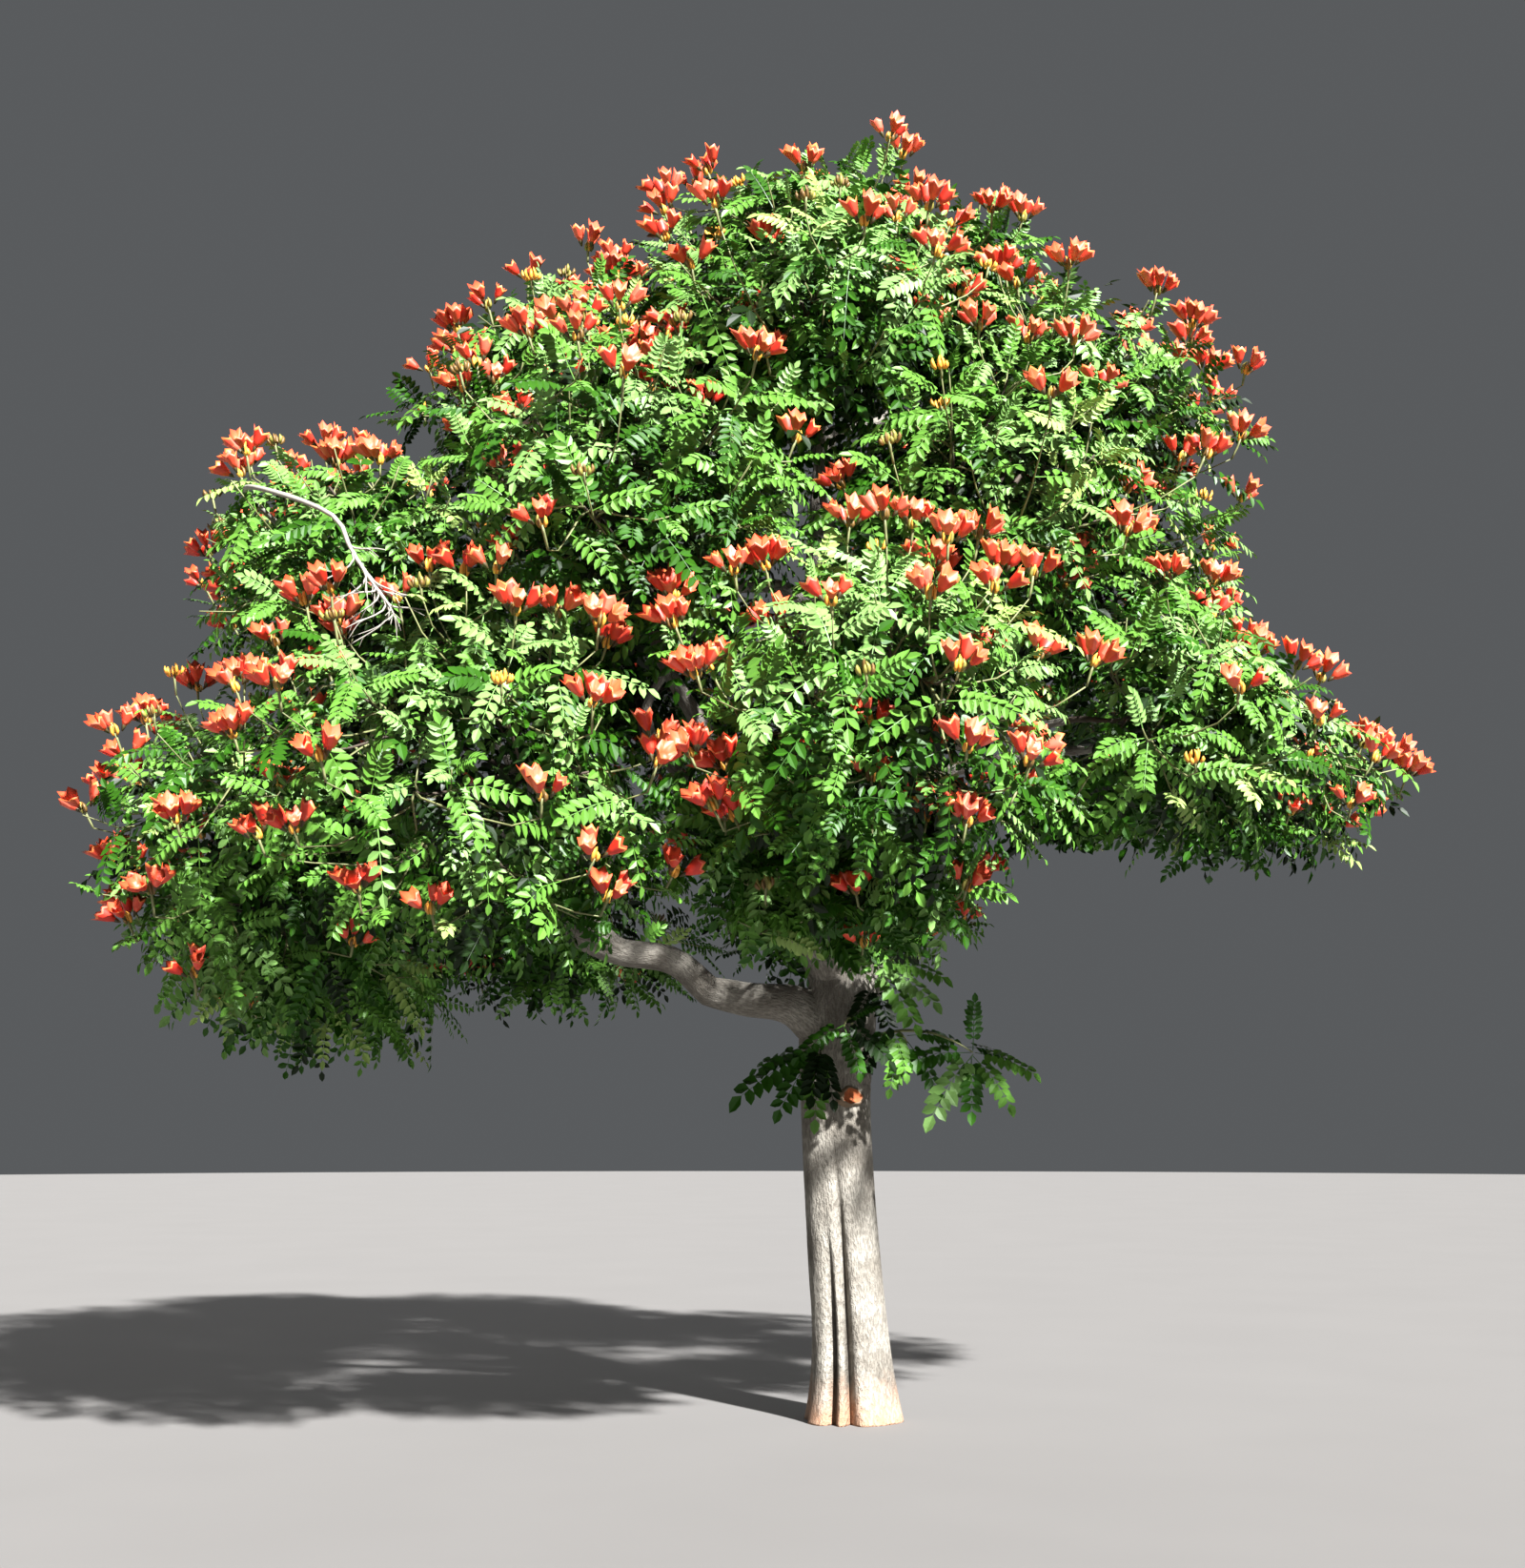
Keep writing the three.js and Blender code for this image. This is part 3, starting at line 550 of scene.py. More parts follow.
def tapers(first, last, rows, n):
    """Radii that run evenly from first to last in so many rows, the same for n lines."""
    return np.repeat(np.linspace(first, last, rows)[None], n, axis=0)


def tubes(lines, radii, sides):
    """Closed tubes along lines (n, rows, 3): each ring is middle + radius (cos a side + sin a top).

    side is the part of a fixed axis that lies across the line, and top is square to both. radii is (n, rows)
    or (n, rows, sides). The faces are quads between rings, and a flat cap at each end.
    """
    n, rows = lines.shape[:2]
    along = unit(np.gradient(lines, axis=1))
    axis = np.eye(3)[np.abs(lines[:, -1] - lines[:, 0]).argmin(axis=1)]
    side = unit(np.cross(axis[:, None], along))
    top = np.cross(along, side)
    angle = np.arange(sides) * TAU / sides
    ring = np.cos(angle)[:, None] * side[:, :, None] + np.sin(angle)[:, None] * top[:, :, None]
    radii = radii[..., None, None] if radii.ndim == 2 else radii[..., None]
    points = lines[:, :, None] + radii * ring
    index = np.arange(n * rows * sides).reshape(n, rows, sides)
    caps = np.concatenate([index[:, 0, ::-1], index[:, -1]])
    return points.reshape(-1, 3), [ring_walls(index), caps]


class Build:
    """Collects vertices and faces of one piece, each face with its material's number."""

    def __init__(self):
        self.points, self.faces, self.paints, self.count = [], [], [], 0
        self.values = {}

    def add(self, points, faces, paint=0, **values):
        faces = faces if isinstance(faces, list) else [faces]
        paints = paint if isinstance(paint, list) else [paint] * len(faces)
        for group, shade in zip(faces, paints):
            self.faces.append(group + self.count)
            self.paints.append(np.broadcast_to(shade, len(group)))
        self.points.append(points)
        self.count += len(points)
        for name, value in values.items():
            self.values.setdefault(name, []).append(value)

    def piece(self, name, materials, slot, replaced=(), soft=False):
        """Puts the mesh into the scene, where it rides on the root and stands for the named nodes."""
        mesh = bpy.data.meshes.new(name)
        points = np.concatenate(self.points)
        corners = np.concatenate([group.ravel() for group in self.faces])
        sizes = np.concatenate([np.full(len(group), group.shape[1]) for group in self.faces])
        mesh.vertices.add(len(points))
        mesh.vertices.foreach_set("co", points.astype(np.float32).ravel())
        mesh.loops.add(len(corners))
        mesh.loops.foreach_set("vertex_index", corners.astype(np.int32))
        mesh.polygons.add(len(sizes))
        mesh.polygons.foreach_set("loop_start", (np.cumsum(sizes) - sizes).astype(np.int32))
        mesh.polygons.foreach_set("material_index", np.concatenate(self.paints).astype(np.int32))
        mesh.polygons.foreach_set("use_smooth", np.full(len(sizes), soft))
        for finish in materials:
            mesh.materials.append(finish)
        mesh.update(calc_edges=True)
        for key, parts in self.values.items():
            value = np.concatenate(parts)
            kind, field = ("FLOAT_VECTOR", "vector") if value.ndim == 2 else ("FLOAT", "value")
            mesh.attributes.new(key, kind, "POINT").data.foreach_set(field, value.astype(np.float32).ravel())
        made = bpy.data.objects.new(name, mesh)
        bpy.context.scene.collection.objects.link(made)
        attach(made, "root")
        if replaced:
            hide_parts(*replaced)


# Materials


class Socket:
    """An output of a material's node. Sums on it add Math nodes."""

    def __init__(self, paint, output):
        self.paint, self.output = paint, output

    def math(self, operation, *values):
        return self.paint.node("ShaderNodeMath", {"operation": operation}, dict(enumerate(values)))

    def __add__(self, other):
        return self.math("ADD", self, other)

    def __mul__(self, other):
        return self.math("MULTIPLY", self, other)

    def __rsub__(self, other):
        return self.math("SUBTRACT", other, self)

    __radd__ = __add__
    __rmul__ = __mul__


class Paint:
    """One material. Its shader's plain values are given by name, such as roughness=0.4."""

    def __init__(self, name, **plain):
        self.material = bpy.data.materials.new(name)
        self.material.use_nodes = True
        self.nodes = self.material.node_tree.nodes
        self.shader = self.nodes["Principled BSDF"]
        self.set(**plain)

    def set(self, **values):
        for key, value in values.items():
            self.feed(self.shader.inputs[key.replace("_", " ").title().replace("Ior", "IOR")], value)

    def feed(self, socket, value):
        if isinstance(value, Socket):
            self.material.node_tree.links.new(value.output, socket)
        elif socket.type == "RGBA":
            socket.default_value = (*value[:3], 1)
        else:
            socket.default_value = value

    def node(self, kind, settings=None, inputs=None, output=0):
        made = self.nodes.new(kind)
        for key, value in (settings or {}).items():
            setattr(made, key, value)
        for key, value in (inputs or {}).items():
            self.feed(made.inputs[key], value)
        return Socket(self, made.outputs[output])

    def mix(self, share, a, b):
        """Two colours mixed. Their sockets share names with those for numbers, so they go by number."""
        return self.node("ShaderNodeMix", {"data_type": "RGBA"}, {0: share, 6: a, 7: b}, 2)

    def place(self):
        return self.node("ShaderNodeTexCoord", output="Object")

    def grain(self, stretch):
        """The bark's own coordinates, round the limb and along it, drawn out along it by a factor under 1."""
        grain = self.node("ShaderNodeAttribute", {"attribute_name": "grain"}, output="Vector")
        return self.node("ShaderNodeMapping", {}, {"Vector": grain, "Scale": (1, 1, stretch)})

    def ramp(self, value, low, high, first=0.0, last=1.0):
        """first where the value is low, last where it is high, and an even run between."""
        ends = {"Value": value, "From Min": low, "From Max": high, "To Min": first, "To Max": last}
        return self.node("ShaderNodeMapRange", {}, ends)

    def cloud(self, at, scale, detail, low=0.3, high=0.7):
        """Noise stretched so that low becomes 0 and high becomes 1."""
        noise_node = self.node("ShaderNodeTexNoise", {}, {"Vector": at, "Scale": scale, "Detail": detail})
        return self.ramp(noise_node, low, high)

    def bump(self, height, strength, distance):
        return self.node("ShaderNodeBump", {}, {"Height": height, "Strength": strength, "Distance": distance})


def bark_paint(settings):
    """Grey-brown bark: pale weathered ridges, dark fissures along the grain, soil stain at the foot."""
    paint = Paint("bark", specular_ior_level=0.25)
    fissures = paint.cloud(paint.grain(0.30), 105, 5, 0.38, 0.58)
    fine = paint.cloud(paint.grain(0.5), 260, 3)
    blotches = paint.cloud(paint.place(), 5.5, 5, 0.40, 0.62)
    depth = paint.node("ShaderNodeAttribute", {"attribute_name": "depth"}, output="Fac")
    colour = paint.mix(blotches, settings.bark, settings.bark_pale)
    colour = paint.mix((1 - fissures) * 0.55, colour, settings.bark_dark)
    colour = paint.mix(fine * 0.30, colour, settings.bark_pale)
    # The depth attribute darkens the fissures, and on the trunk also paints shade into the creases of the
    # grooves
    colour = paint.mix(depth, colour, settings.bark_dark)
    height = paint.node("ShaderNodeSeparateXYZ", {}, {"Vector": paint.place()}, "Z")
    ragged = paint.cloud(paint.place(), 9, 4, 0.2, 0.8)
    stain = paint.ramp(height + ragged * STAIN_RAGGED, STAIN_TOP, STAIN_FULL, 0.0, STAIN_SHARE)
    colour = paint.mix(stain, colour, settings.soil_stain)
    paint.set(base_color=colour, roughness=0.82 + 0.14 * fine)
    paint.set(normal=paint.bump(fissures * 0.7 + fine * 0.3, 0.8, 0.010))
    return paint.material


def plain_paint(name, colour, roughness, mottle, scale, **plain):
    """A plain colour with a faint mottle between a darker and a lighter shade of it."""
    paint = Paint(name, roughness=roughness, **plain)
    c = np.array(colour[:3])
    shade = paint.cloud(paint.place(), scale, 2)
    paint.set(base_color=paint.mix(shade, c * (1 - mottle), np.minimum(c * (1 + mottle), 1)))
    return paint.material


# Bark

# The radius from which a limb is a thick one, and the distance between rings on thick limbs and on thin ones
THICK = 0.06
THICK_STEP = 0.016
THIN_STEP = 0.028


def bark_skin(build, lines, radii, grain_radius, sides, relief, seed):
    """One limb's bark: a tube whose radius is raised by ridges of noise drawn out along the grain.

    radii holds a radius for each place of the line, and relief is the height of the ridges. grain is the
    vector (r cos a, r sin a, length), and depth the share by which a place lies in a fissure.
    """
    angle = np.arange(sides) * TAU / sides
    length = np.concatenate([[0], np.cumsum(np.linalg.norm(np.diff(lines, axis=0), axis=1))])
    grain = np.stack(np.broadcast_arrays(
        grain_radius * np.cos(angle), grain_radius * np.sin(angle), length[:, None]), axis=-1)
    ridges = 1 - np.abs(2 * layered(grain * np.array([34, 34, 4.2]) + seed, 3, seed) - 1)
    swells = layered(grain * np.array([5, 5, 2.6]) + seed, 2, seed + 5) - 0.5
    raised = radii[:, None] + relief * (ridges - 0.75) * 1.6 + relief * 2.4 * swells
    points, faces = tubes(lines[None], raised[None], sides)
    depth = np.clip((0.62 - ridges) * 1.5, 0, 0.6)
    build.add(points, faces, grain=grain.reshape(-1, 3), depth=depth.ravel())


def make_trunk(settings):
    """Trunk: the solid's section at each height, with ridges, swells, folds under the fork and creases."""
    rows, sides = settings.trunk_rows, settings.trunk_sides
    z = TRUNK_HEIGHT * np.linspace(0, 1, rows) ** 1.08
    angle = np.arange(sides) * TAU / sides
    middles = trunk_middle(z)
    radii = trunk_radius(z[:, None], angle[None])
    grain = np.stack(np.broadcast_arrays(
        TRUNK_RADIUS * np.cos(angle), TRUNK_RADIUS * np.sin(angle), z[:, None]), axis=-1)
    ridges = 1 - np.abs(2 * layered(grain * np.array([36, 36, 7.0]), 3, 3) - 1)
    swells = layered(grain * np.array([6, 6, 2.2]), 3, 8) - 0.5
    begin, end = smooth(z, 1.5, 1.8)[:, None], smooth(-z, -2.2, -1.9)[:, None]
    folds = np.sin(z[:, None] * 95 + 3 * swells) * begin * end
    crease = trunk_crease(z[:, None], angle[None])
    rough = ridges - 0.75 + 3.0 * swells + 0.5 * folds
    radii = radii * (1 - CREASE_DEPTH * crease) + settings.relief * rough
    out = np.stack([np.cos(angle), np.sin(angle), np.zeros(sides)], axis=-1)
    points = middles[:, None] + radii[..., None] * out
    index = np.arange(rows * sides).reshape(rows, sides)
    caps = np.stack([index[0, ::-1], index[-1]])
    # Depth darkens the bark a little in the fissures, and much in the creases, where it is painted shade
    depth = np.clip((0.60 - ridges) * 0.9, 0, 0.3) + 0.85 * crease
    build = Build()
    faces = [ring_walls(index), caps]
    build.add(points.reshape(-1, 3), faces, grain=grain.reshape(-1, 3), depth=depth.ravel())
    build.piece("trunk_bark", [material("bark")], "bark", ["trunk"], soft=True)


def make_low_bough(settings):
    """The low bough's two lengths as one tube, its radius smoothed where they meet."""
    limbs, _ = skeleton()
    near, far = limbs["low_bough_near"], limbs["low_bough_far"]
    t = np.linspace(0, 1, 70)
    line = np.concatenate([near.at(t), far.at(t)[1:]])
    radii = np.concatenate([near.radius(t) * (1 + 0.34 * (1 - smooth(t, 0.15, 0.6))), far.radius(t)[1:]])
    even = np.ones(15) / 15
    radii = np.convolve(np.pad(radii, 7, mode="edge"), even, mode="valid")
    build = Build()
    bark_skin(build, line, radii, 0.1, settings.limb_sides, settings.relief * 0.9, 7)
    build.piece("low_bough_bark", [material("bark")], "bark", [near.name, far.name], soft=True)


def make_limbs(settings):
    """Limbs and boughs, each with a collar where it leaves what carries it."""
    limbs, _ = skeleton()
    make_low_bough(settings)
    groups = {
        "leader_bark": ["leader"],
        "main_limb_bark": [name for name in limbs if name.startswith("limb_")],
        "bough_bark": [name for name in limbs if name.startswith("bough_")],
    }
    for seed, (piece, names) in enumerate(groups.items()):
        build = Build()
        for k, name in enumerate(names):
            limb = limbs[name]
            thick = limb.radii[0] > THICK
            sides = settings.limb_sides if thick else settings.limb_sides // 2
            rows = int(limb.length / (THICK_STEP if thick else THIN_STEP)) + 2
            t = np.linspace(0, 1, rows)
            s = t * limb.length
            collar = 0.34 * (1 - smooth(s, 0.12, 0.5 if thick else 0.3))
            radii = limb.radius(t) * (1 + collar)
            relief = settings.relief * (0.8 if thick else 0.45)
            bark_skin(build, limb.at(t), radii, limb.radii[0], sides, relief, 11 * seed + k)
        build.piece(piece, [material("bark")], "bark", names, soft=True)


# Growth of the crown


def drapes():
    """Small masses in front of the fork, each on a twig of its own. They have no name and no walls."""
    limbs, _ = skeleton()
    found = []
    for k, (limb, share, middle, radius, flat) in enumerate(DRAPES):
        parent, middle = limbs[limb], np.array(middle)
        start = parent.at(share)
        leave = mix(start, middle, 0.3) + 0.1 * np.linalg.norm(middle - start) * parent.facing(share)
        twig = Limb(f"drape_{k + 1}", [start, leave, mix(start, middle, 0.7)], (0.018, 0.010))
        found.append(SimpleNamespace(
            name=None,
            seed=DRAPE_SEED + k,
            middle=middle,
            radius=radius,
            flat=flat,
            outward=unit(np.array([0.0, -1.0, -0.1])),
            offs=np.empty(0),
            trims=np.empty((0, 3)),
            trim_offs=np.empty(0),
            cuts=np.empty((0, 3)),
            cut_offs=np.empty(0),
            between=0,
            limb=twig,
        ))
    return found


def bezier(a, b, c, d, rows):
    """Cubic curves from a by b and c to d, each (n, 3), as lines (n, rows, 3)."""
    t = np.linspace(0, 1, rows)[:, None]
    a, b, c, d = (p[:, None] for p in (a, b, c, d))
    return a * (1 - t) ** 3 + 3 * b * t * (1 - t) ** 2 + 3 * c * t ** 2 * (1 - t) + d * t ** 3


def grow_from(parents, starts, tips, last, bend=0.35, rows=7):
    """Curved twigs that leave along their parents' directions and arrive along last."""
    length = np.linalg.norm(tips - starts, axis=1, keepdims=True)
    return bezier(starts, starts + parents * length * bend, tips - last * length * bend, tips, rows)


def on_line(lines, t):
    """The place and the direction at share t along each line (n, rows, 3)."""
    rows = lines.shape[1]
    x = np.clip(t, 0, 1) * (rows - 1)
    low = np.minimum(x.astype(int), rows - 2)
    k = np.arange(len(lines))
    a, b = lines[k, low], lines[k, low + 1]
    return mix(a, b, (x - low)[:, None]), unit(b - a)


def clear_of_limbs(points, margin):
    """True for each point that lies further than margin from every limb's bark."""
    limbs, _ = skeleton()
    t = np.linspace(0, 1, 30)
    line = np.concatenate([limb.at(t) for limb in limbs.values()])
    r = np.concatenate([limb.radius(t) for limb in limbs.values()])
    free = np.ones(len(points), bool)
    for k in range(0, len(points), 2000):
        d = np.linalg.norm(points[k:k + 2000, None] - line[None], axis=2) - r
        free[k:k + 2000] = d.min(axis=1) > margin
    return free


def in_opening(points):
    """True for each point that lies in one of the crown's openings."""
    inside = np.zeros(len(points), bool)
    for middle, half in OPENINGS:
        inside |= (((points - middle) / half) ** 2).sum(axis=1) < 1
    return inside


def nearest(directions, parents):
    """For each direction, the number of the parent direction that lies closest to it."""
    return (directions @ parents.T).argmax(axis=1)


def aim_shoots(m, settings):
    """Directions and tips of a mass's shoots, and whether each is in its core, lies inside or bears a head.

    Tip = middle + depth times direction. Most shoots end near the edge of the mass's space. Fewer end about
    its middle, the core, where they shade the inside.
    """
    count = int(settings.shoots * (DRAPE_SHARE if m.name is None else 1))
    within = 0 if m.name is None else settings.core_shoots
    aim = np.concatenate([
        spiral(m, count, m.seed + 2, settings.shoot_cap),
        spiral(m, within, m.seed + 5, CORE_CAP),
    ])
    k = np.arange(len(aim))
    core = k >= count
    far = reach(m, aim)
    free = reach(m, aim, m.between) / own_reach(m, aim)
    inner = free < INNER

    # Shoots that bear a head: more of them low on the crown, and none that point into it
    away = unit(m.middle + aim * far[:, None] - CROWN_MIDDLE)
    share = settings.head_share * mix(*HEADS_LOW_TO_HIGH, smooth(m.middle[2], 3.4, 5.4))
    share = share * np.where(aim[:, 2] < -0.4, 0.5, 1)
    bears = ~core & (free > 0.55) & (chance(k, m.seed, 40) < share)
    bears &= (aim[:, 2] > -0.8) & ((aim * away).sum(axis=1) > 0.3)

    # Tips: the leaves, or the head, have room between the tip and the edge of the space
    room = np.where(inner, 0.35, 0.80) * settings.leaf_length + settings.depth * chance(k, m.seed, 5) ** 1.6
    frontal = np.maximum(-aim[:, 1], 0.6 * aim[:, 1]) * (1 - np.clip(aim[:, 2], 0, 1))
    head_room = settings.head_room * (1 - 0.75 * frontal)
    depth = np.where(core, mix(0.25, 0.62, chance(k, m.seed, 9)) * far, np.maximum(far - room, 0.3 * far))
    depth = np.where(bears, far - head_room, depth)
    tips = m.middle + aim * depth[:, None]
    tips[:, 2] = np.where(bears, np.minimum(tips[:, 2], HEAD_CEILING), tips[:, 2])
    bears &= ((tips - m.middle) @ m.cuts.T < m.cut_offs - 0.15).all(axis=1)

    keep = ~(~core & inner & (chance(k, m.seed, 6) > settings.inner_share))
    keep &= ~in_opening(tips) & clear_of_limbs(tips, 0.02)
    return [values[keep] for values in (k, aim, tips, core, inner, bears)]


def grow_mass(m, settings):
    """One mass: a stem that forks into branches, arms from the branches, and leafy shoots from the arms."""
    fork = m.middle - m.outward * FORK * m.radius * m.flat
    stem_foot = m.limb.at(1.0)
    heading = spiral(m, BRANCHES, m.seed)
    ends = m.middle + heading * (BRANCH_REACH * reach(m, heading))[:, None]
    forks = np.repeat(fork[None], BRANCHES, axis=0)
    onwards = unit(fork - stem_foot)[None]
    stem = grow_from(m.limb.facing(1.0)[None], stem_foot[None], fork[None], onwards)
    branches = grow_from(np.repeat(onwards, BRANCHES, axis=0), forks, ends, heading, 0.25)

    aims = spiral(m, settings.arms, m.seed + 2)
    j = np.arange(settings.arms)
    starts, faces = on_line(branches[nearest(aims, heading)], mix(0.45, 1.0, chance(j, m.seed, 3)))
    ends = m.middle + aims * (mix(0.52, 0.66, chance(j, m.seed, 4)) * reach(m, aims))[:, None]
    arms = grow_from(faces, starts, ends, unit(aims + 0.3 * UP), 0.3)

    k, aim, tips, core, inner, bears = aim_shoots(m, settings)
    starts, faces = on_line(arms[nearest(aim, aims)], mix(0.35, 1.0, chance(k, m.seed, 7)))
    last = unit(aim + mix(0.35, 0.8, chance(k, m.seed, 8))[:, None] * UP)
    return SimpleNamespace(
        mass=m,
        stem=stem,
        stem_radius=STEM_SEAT * m.limb.radius(1.0),
        branches=branches,
        arms=arms,
        shoots=grow_from(faces, starts, tips, last, 0.35, 5),
        aim=aim,
        inner=inner,
        bears=bears,
        core=core,
        number=k,
        key=k + 100 * m.seed,
    )


@lru_cache(maxsize=1)
def heads():
    """Foot, axis, outward direction and key of each head of flower, less those too near one before them."""
    gap = bpy.context.scene.tulip_crown.head_gap
    rows = [(g.shoots[g.bears, -1], unit(UPRIGHT * g.aim[g.bears] + UP), g.aim[g.bears], g.key[g.bears] * 1.0)
            for g in crown()]
    foot, axis, aim, key = (np.concatenate(v) for v in zip(*rows))
    # Distances to itself and to the heads after it are raised, so that only those before it count
    apart = np.linalg.norm(foot[:, None] - foot, axis=2) + 9 * np.tri(len(foot)).T
    some = apart.min(axis=1) > gap
    out = unit((foot - CROWN_MIDDLE) * np.array([1, 1, 0])) + unit(aim * np.array([1, 1, 0.01]))
    out[:, 1] += np.sign(foot[:, 1])
    out[:, 2] = -0.4
    return foot[some], axis[some], unit(out[some]), key[some]


def clear_of_heads(points, settings):
    """True for each point outside the round passages that lead outwards from what has to show.

    These are every head of flower, and places along the bare branch and among its end's twigs.
    """
    foot, axis, out, _ = heads()
    ends = np.array(BARE_END)
    t = np.append(np.linspace(0.52, 1, 22), np.ones(len(ends)))
    bare = Limb("bare_branch", BARE_BRANCH, BARE_RADII).at(t)
    bare[-len(ends):] += ends
    middle = np.concatenate([foot + 0.13 * axis, bare])
    out = np.concatenate([out, np.tile([0.0, -1.0, -0.2], (len(bare), 1))])
    length = np.append(np.full(len(foot), settings.passage), np.full(len(bare), BARE_PASSAGE[0]))
    radius = np.append(np.full(len(foot), settings.passage_radius), np.full(len(bare), BARE_PASSAGE[1]))
    free = np.ones(len(points), bool)
    for k in range(0, len(points), 1000):
        way = points[k:k + 1000, None] - middle
        along = np.clip((way * out).sum(axis=2), 0, length)[..., None]
        free[k:k + 1000] = (np.linalg.norm(way - along * out, axis=2) > radius).all(axis=1)
    return free


def leaves_on(grown, settings):
    """Foot, direction, upper side and length of each leaf: crossed pairs down the last stretch of a shoot.

    The direction leans out from the shoot by an angle that grows down the shoot, so the youngest stand up.
    """
    n = len(grown.shoots)
    length = np.linalg.norm(np.diff(grown.shoots, axis=1), axis=2).sum(axis=1)
    rows = []
    for node in range(settings.leaf_nodes):
        for hand in range(2):
            c = chance(grown.key, node, hand)
            e = chance(grown.key + 0.5, node, hand)
            back = (0.02 + 0.085 * node + 0.03 * c) / np.maximum(length, 0.1)
            foot, facing = on_line(grown.shoots, 1 - np.minimum(back, 0.9))
            side = unit(np.cross(facing, UP + 0.01))
            other = np.cross(facing, side)
            turn = grown.number * GOLDEN + node * TAU / 4 + hand * TAU / 2 + (c - 0.5) * 0.7
            spread = np.radians(mix(28, 84, min(1, node / 2.5))) + (e - 0.5) * 0.4
            out = np.cos(turn)[:, None] * side + np.sin(turn)[:, None] * other
            along = unit(np.cos(spread)[:, None] * facing + np.sin(spread)[:, None] * out)
            size = settings.leaf_length * mix(0.62, 1.0, min(1, (node + 0.6) / 2)) * mix(0.78, 1.12, e)
            keep = chance(grown.key, node + 9, hand) > (0.12 if node < 3 else 0.3)
            rows.append((foot, along, size, c, keep, np.full(n, node)))
    foot, along, size, c, keep, node = (np.concatenate(v) for v in zip(*rows))
    shoot = np.tile(np.arange(n), len(rows))
    up = unit(0.5 * UP + 0.6 * grown.aim[shoot] + 0.35 * SUNWARD)
    size = size * np.where(grown.core[shoot], CORE_LEAF, 1.0)
    droop = mix(0.16, 0.48, chance(grown.key[shoot], node, 4)) * (0.6 + 0.2 * node)
    tip = foot + along * size[:, None] - UP * (droop * size)[:, None]
    m = grown.mass
    out = tip - m.middle
    keep &= np.linalg.norm(out / np.array([1, 1, m.flat]), axis=1) < m.radius * settings.leaf_stretch
    keep &= (out @ m.trims.T < m.trim_offs - settings.sole_room).all(axis=1)
    keep &= (out @ m.cuts.T < m.cut_offs - settings.edge_room).all(axis=1)
    keep &= ~(grown.core[shoot] & (node > 2))
    keep &= clear_of_limbs(mix(foot, tip, 0.5), 0.03) & clear_of_limbs(tip, 0.01)
    keep &= ~in_opening(mix(foot, tip, 0.6))
    for share in (0.3, 0.65, 1.0):
        keep &= clear_of_heads(mix(foot, tip, share), settings)
    return SimpleNamespace(
        foot=foot[keep],
        along=along[keep],
        up=up[keep],
        size=size[keep],
        droop=droop[keep],
        shoot=shoot[keep],
        c=c[keep],
        node=node[keep],
    )


def pinnate(build, foot, along, up, size, droop, pairs, paint, key, blade=(0.215, 0.255)):
    """Pinnate leaves: leaflets in pairs along an arched midrib, and one at its end.

    Midrib at share s: foot + size (s along - droop s^2 up). blade is a leaflet's length as a share of the
    leaf's, and half its width as a share of its own length. A leaflet is four triangles that fan out from its
    foot to its tip and two points on either edge, which are raised so that the blade is folded.
    """

    def midrib(s):
        """Place and direction at the shares s of every midrib."""
        sunk = (droop[:, None] * s ** 2)[..., None] * UP
        place = foot[:, None] + size[:, None, None] * (s[:, None] * along[:, None] - sunk)
        return place, unit(along[:, None] - 2 * (droop[:, None] * s)[..., None] * UP)

    n = len(foot)
    s = np.append(np.repeat(np.linspace(0.22, 0.90, pairs), 2), 1.0)
    hand = np.append(np.tile([1.0, -1.0], pairs), 0.0)
    swing = np.append(np.repeat(np.radians(np.linspace(76, 54, pairs)), 2), 0.0)
    share = np.append(np.repeat(0.78 + 0.30 * np.sin(np.pi * np.linspace(0.18, 0.80, pairs)), 2), 1.05)
    middle, facing = midrib(s)
    side = unit(np.cross(up[:, None], facing))
    top = np.cross(facing, side)
    j = np.arange(len(s))
    sag = mix(0.06, 0.38, chance(key[:, None], j, 2))[..., None]
    way = unit(hand[:, None] * np.sin(swing)[:, None] * side + np.cos(swing)[:, None] * facing - sag * top)
    tilt = (0.2 * (chance(key[:, None], j, 3) - 0.5))[..., None]
    across = unit(np.cross(top, way) + tilt * top)
    lift = np.cross(way, across)
    long = (size[:, None] * blade[0] * share * mix(0.85, 1.1, chance(key[:, None], j, 5)))[..., None]
    half = blade[1]
    profile = np.array([[0, 0, 0], [0.32, half, 0.08], [0.68, 0.84 * half, 0.02], [1, 0, -0.09],
                        [0.68, -0.84 * half, 0.02], [0.32, -half, 0.08]])
    points = [middle + long * (a * way + b * across + h * lift) for a, b, h in profile]
    points = np.stack(points, axis=2)
    index = np.arange(n * len(s) * 6).reshape(-1, 6)
    faces = index[:, [[0, 5, 4], [0, 4, 3], [0, 3, 2], [0, 2, 1]]].reshape(-1, 3)
    build.add(points.reshape(-1, 3), faces, np.repeat(paint, len(s) * 4))

    # The midribs, as strips that narrow to the tip
    rib, facing = midrib(np.linspace(0, 1, 3))
    across = unit(np.cross(up[:, None], facing))
    half = np.array([0.0026, 0.0019, 0.0011])[:, None]
    ribs = np.stack([rib + half * across, rib - half * across], axis=2)
    index = np.arange(n * 6).reshape(n, 3, 2)
    strips = np.stack([index[:, :-1, 0], index[:, :-1, 1], index[:, 1:, 1], index[:, 1:, 0]], axis=-1)
    build.add(ribs.reshape(-1, 3), strips.reshape(-1, 4), np.repeat(paint, 2))


GREENS = ("leaf_deep", "leaf_full", "leaf_mid", "leaf_bright", "leaf_light", "leaf_young")


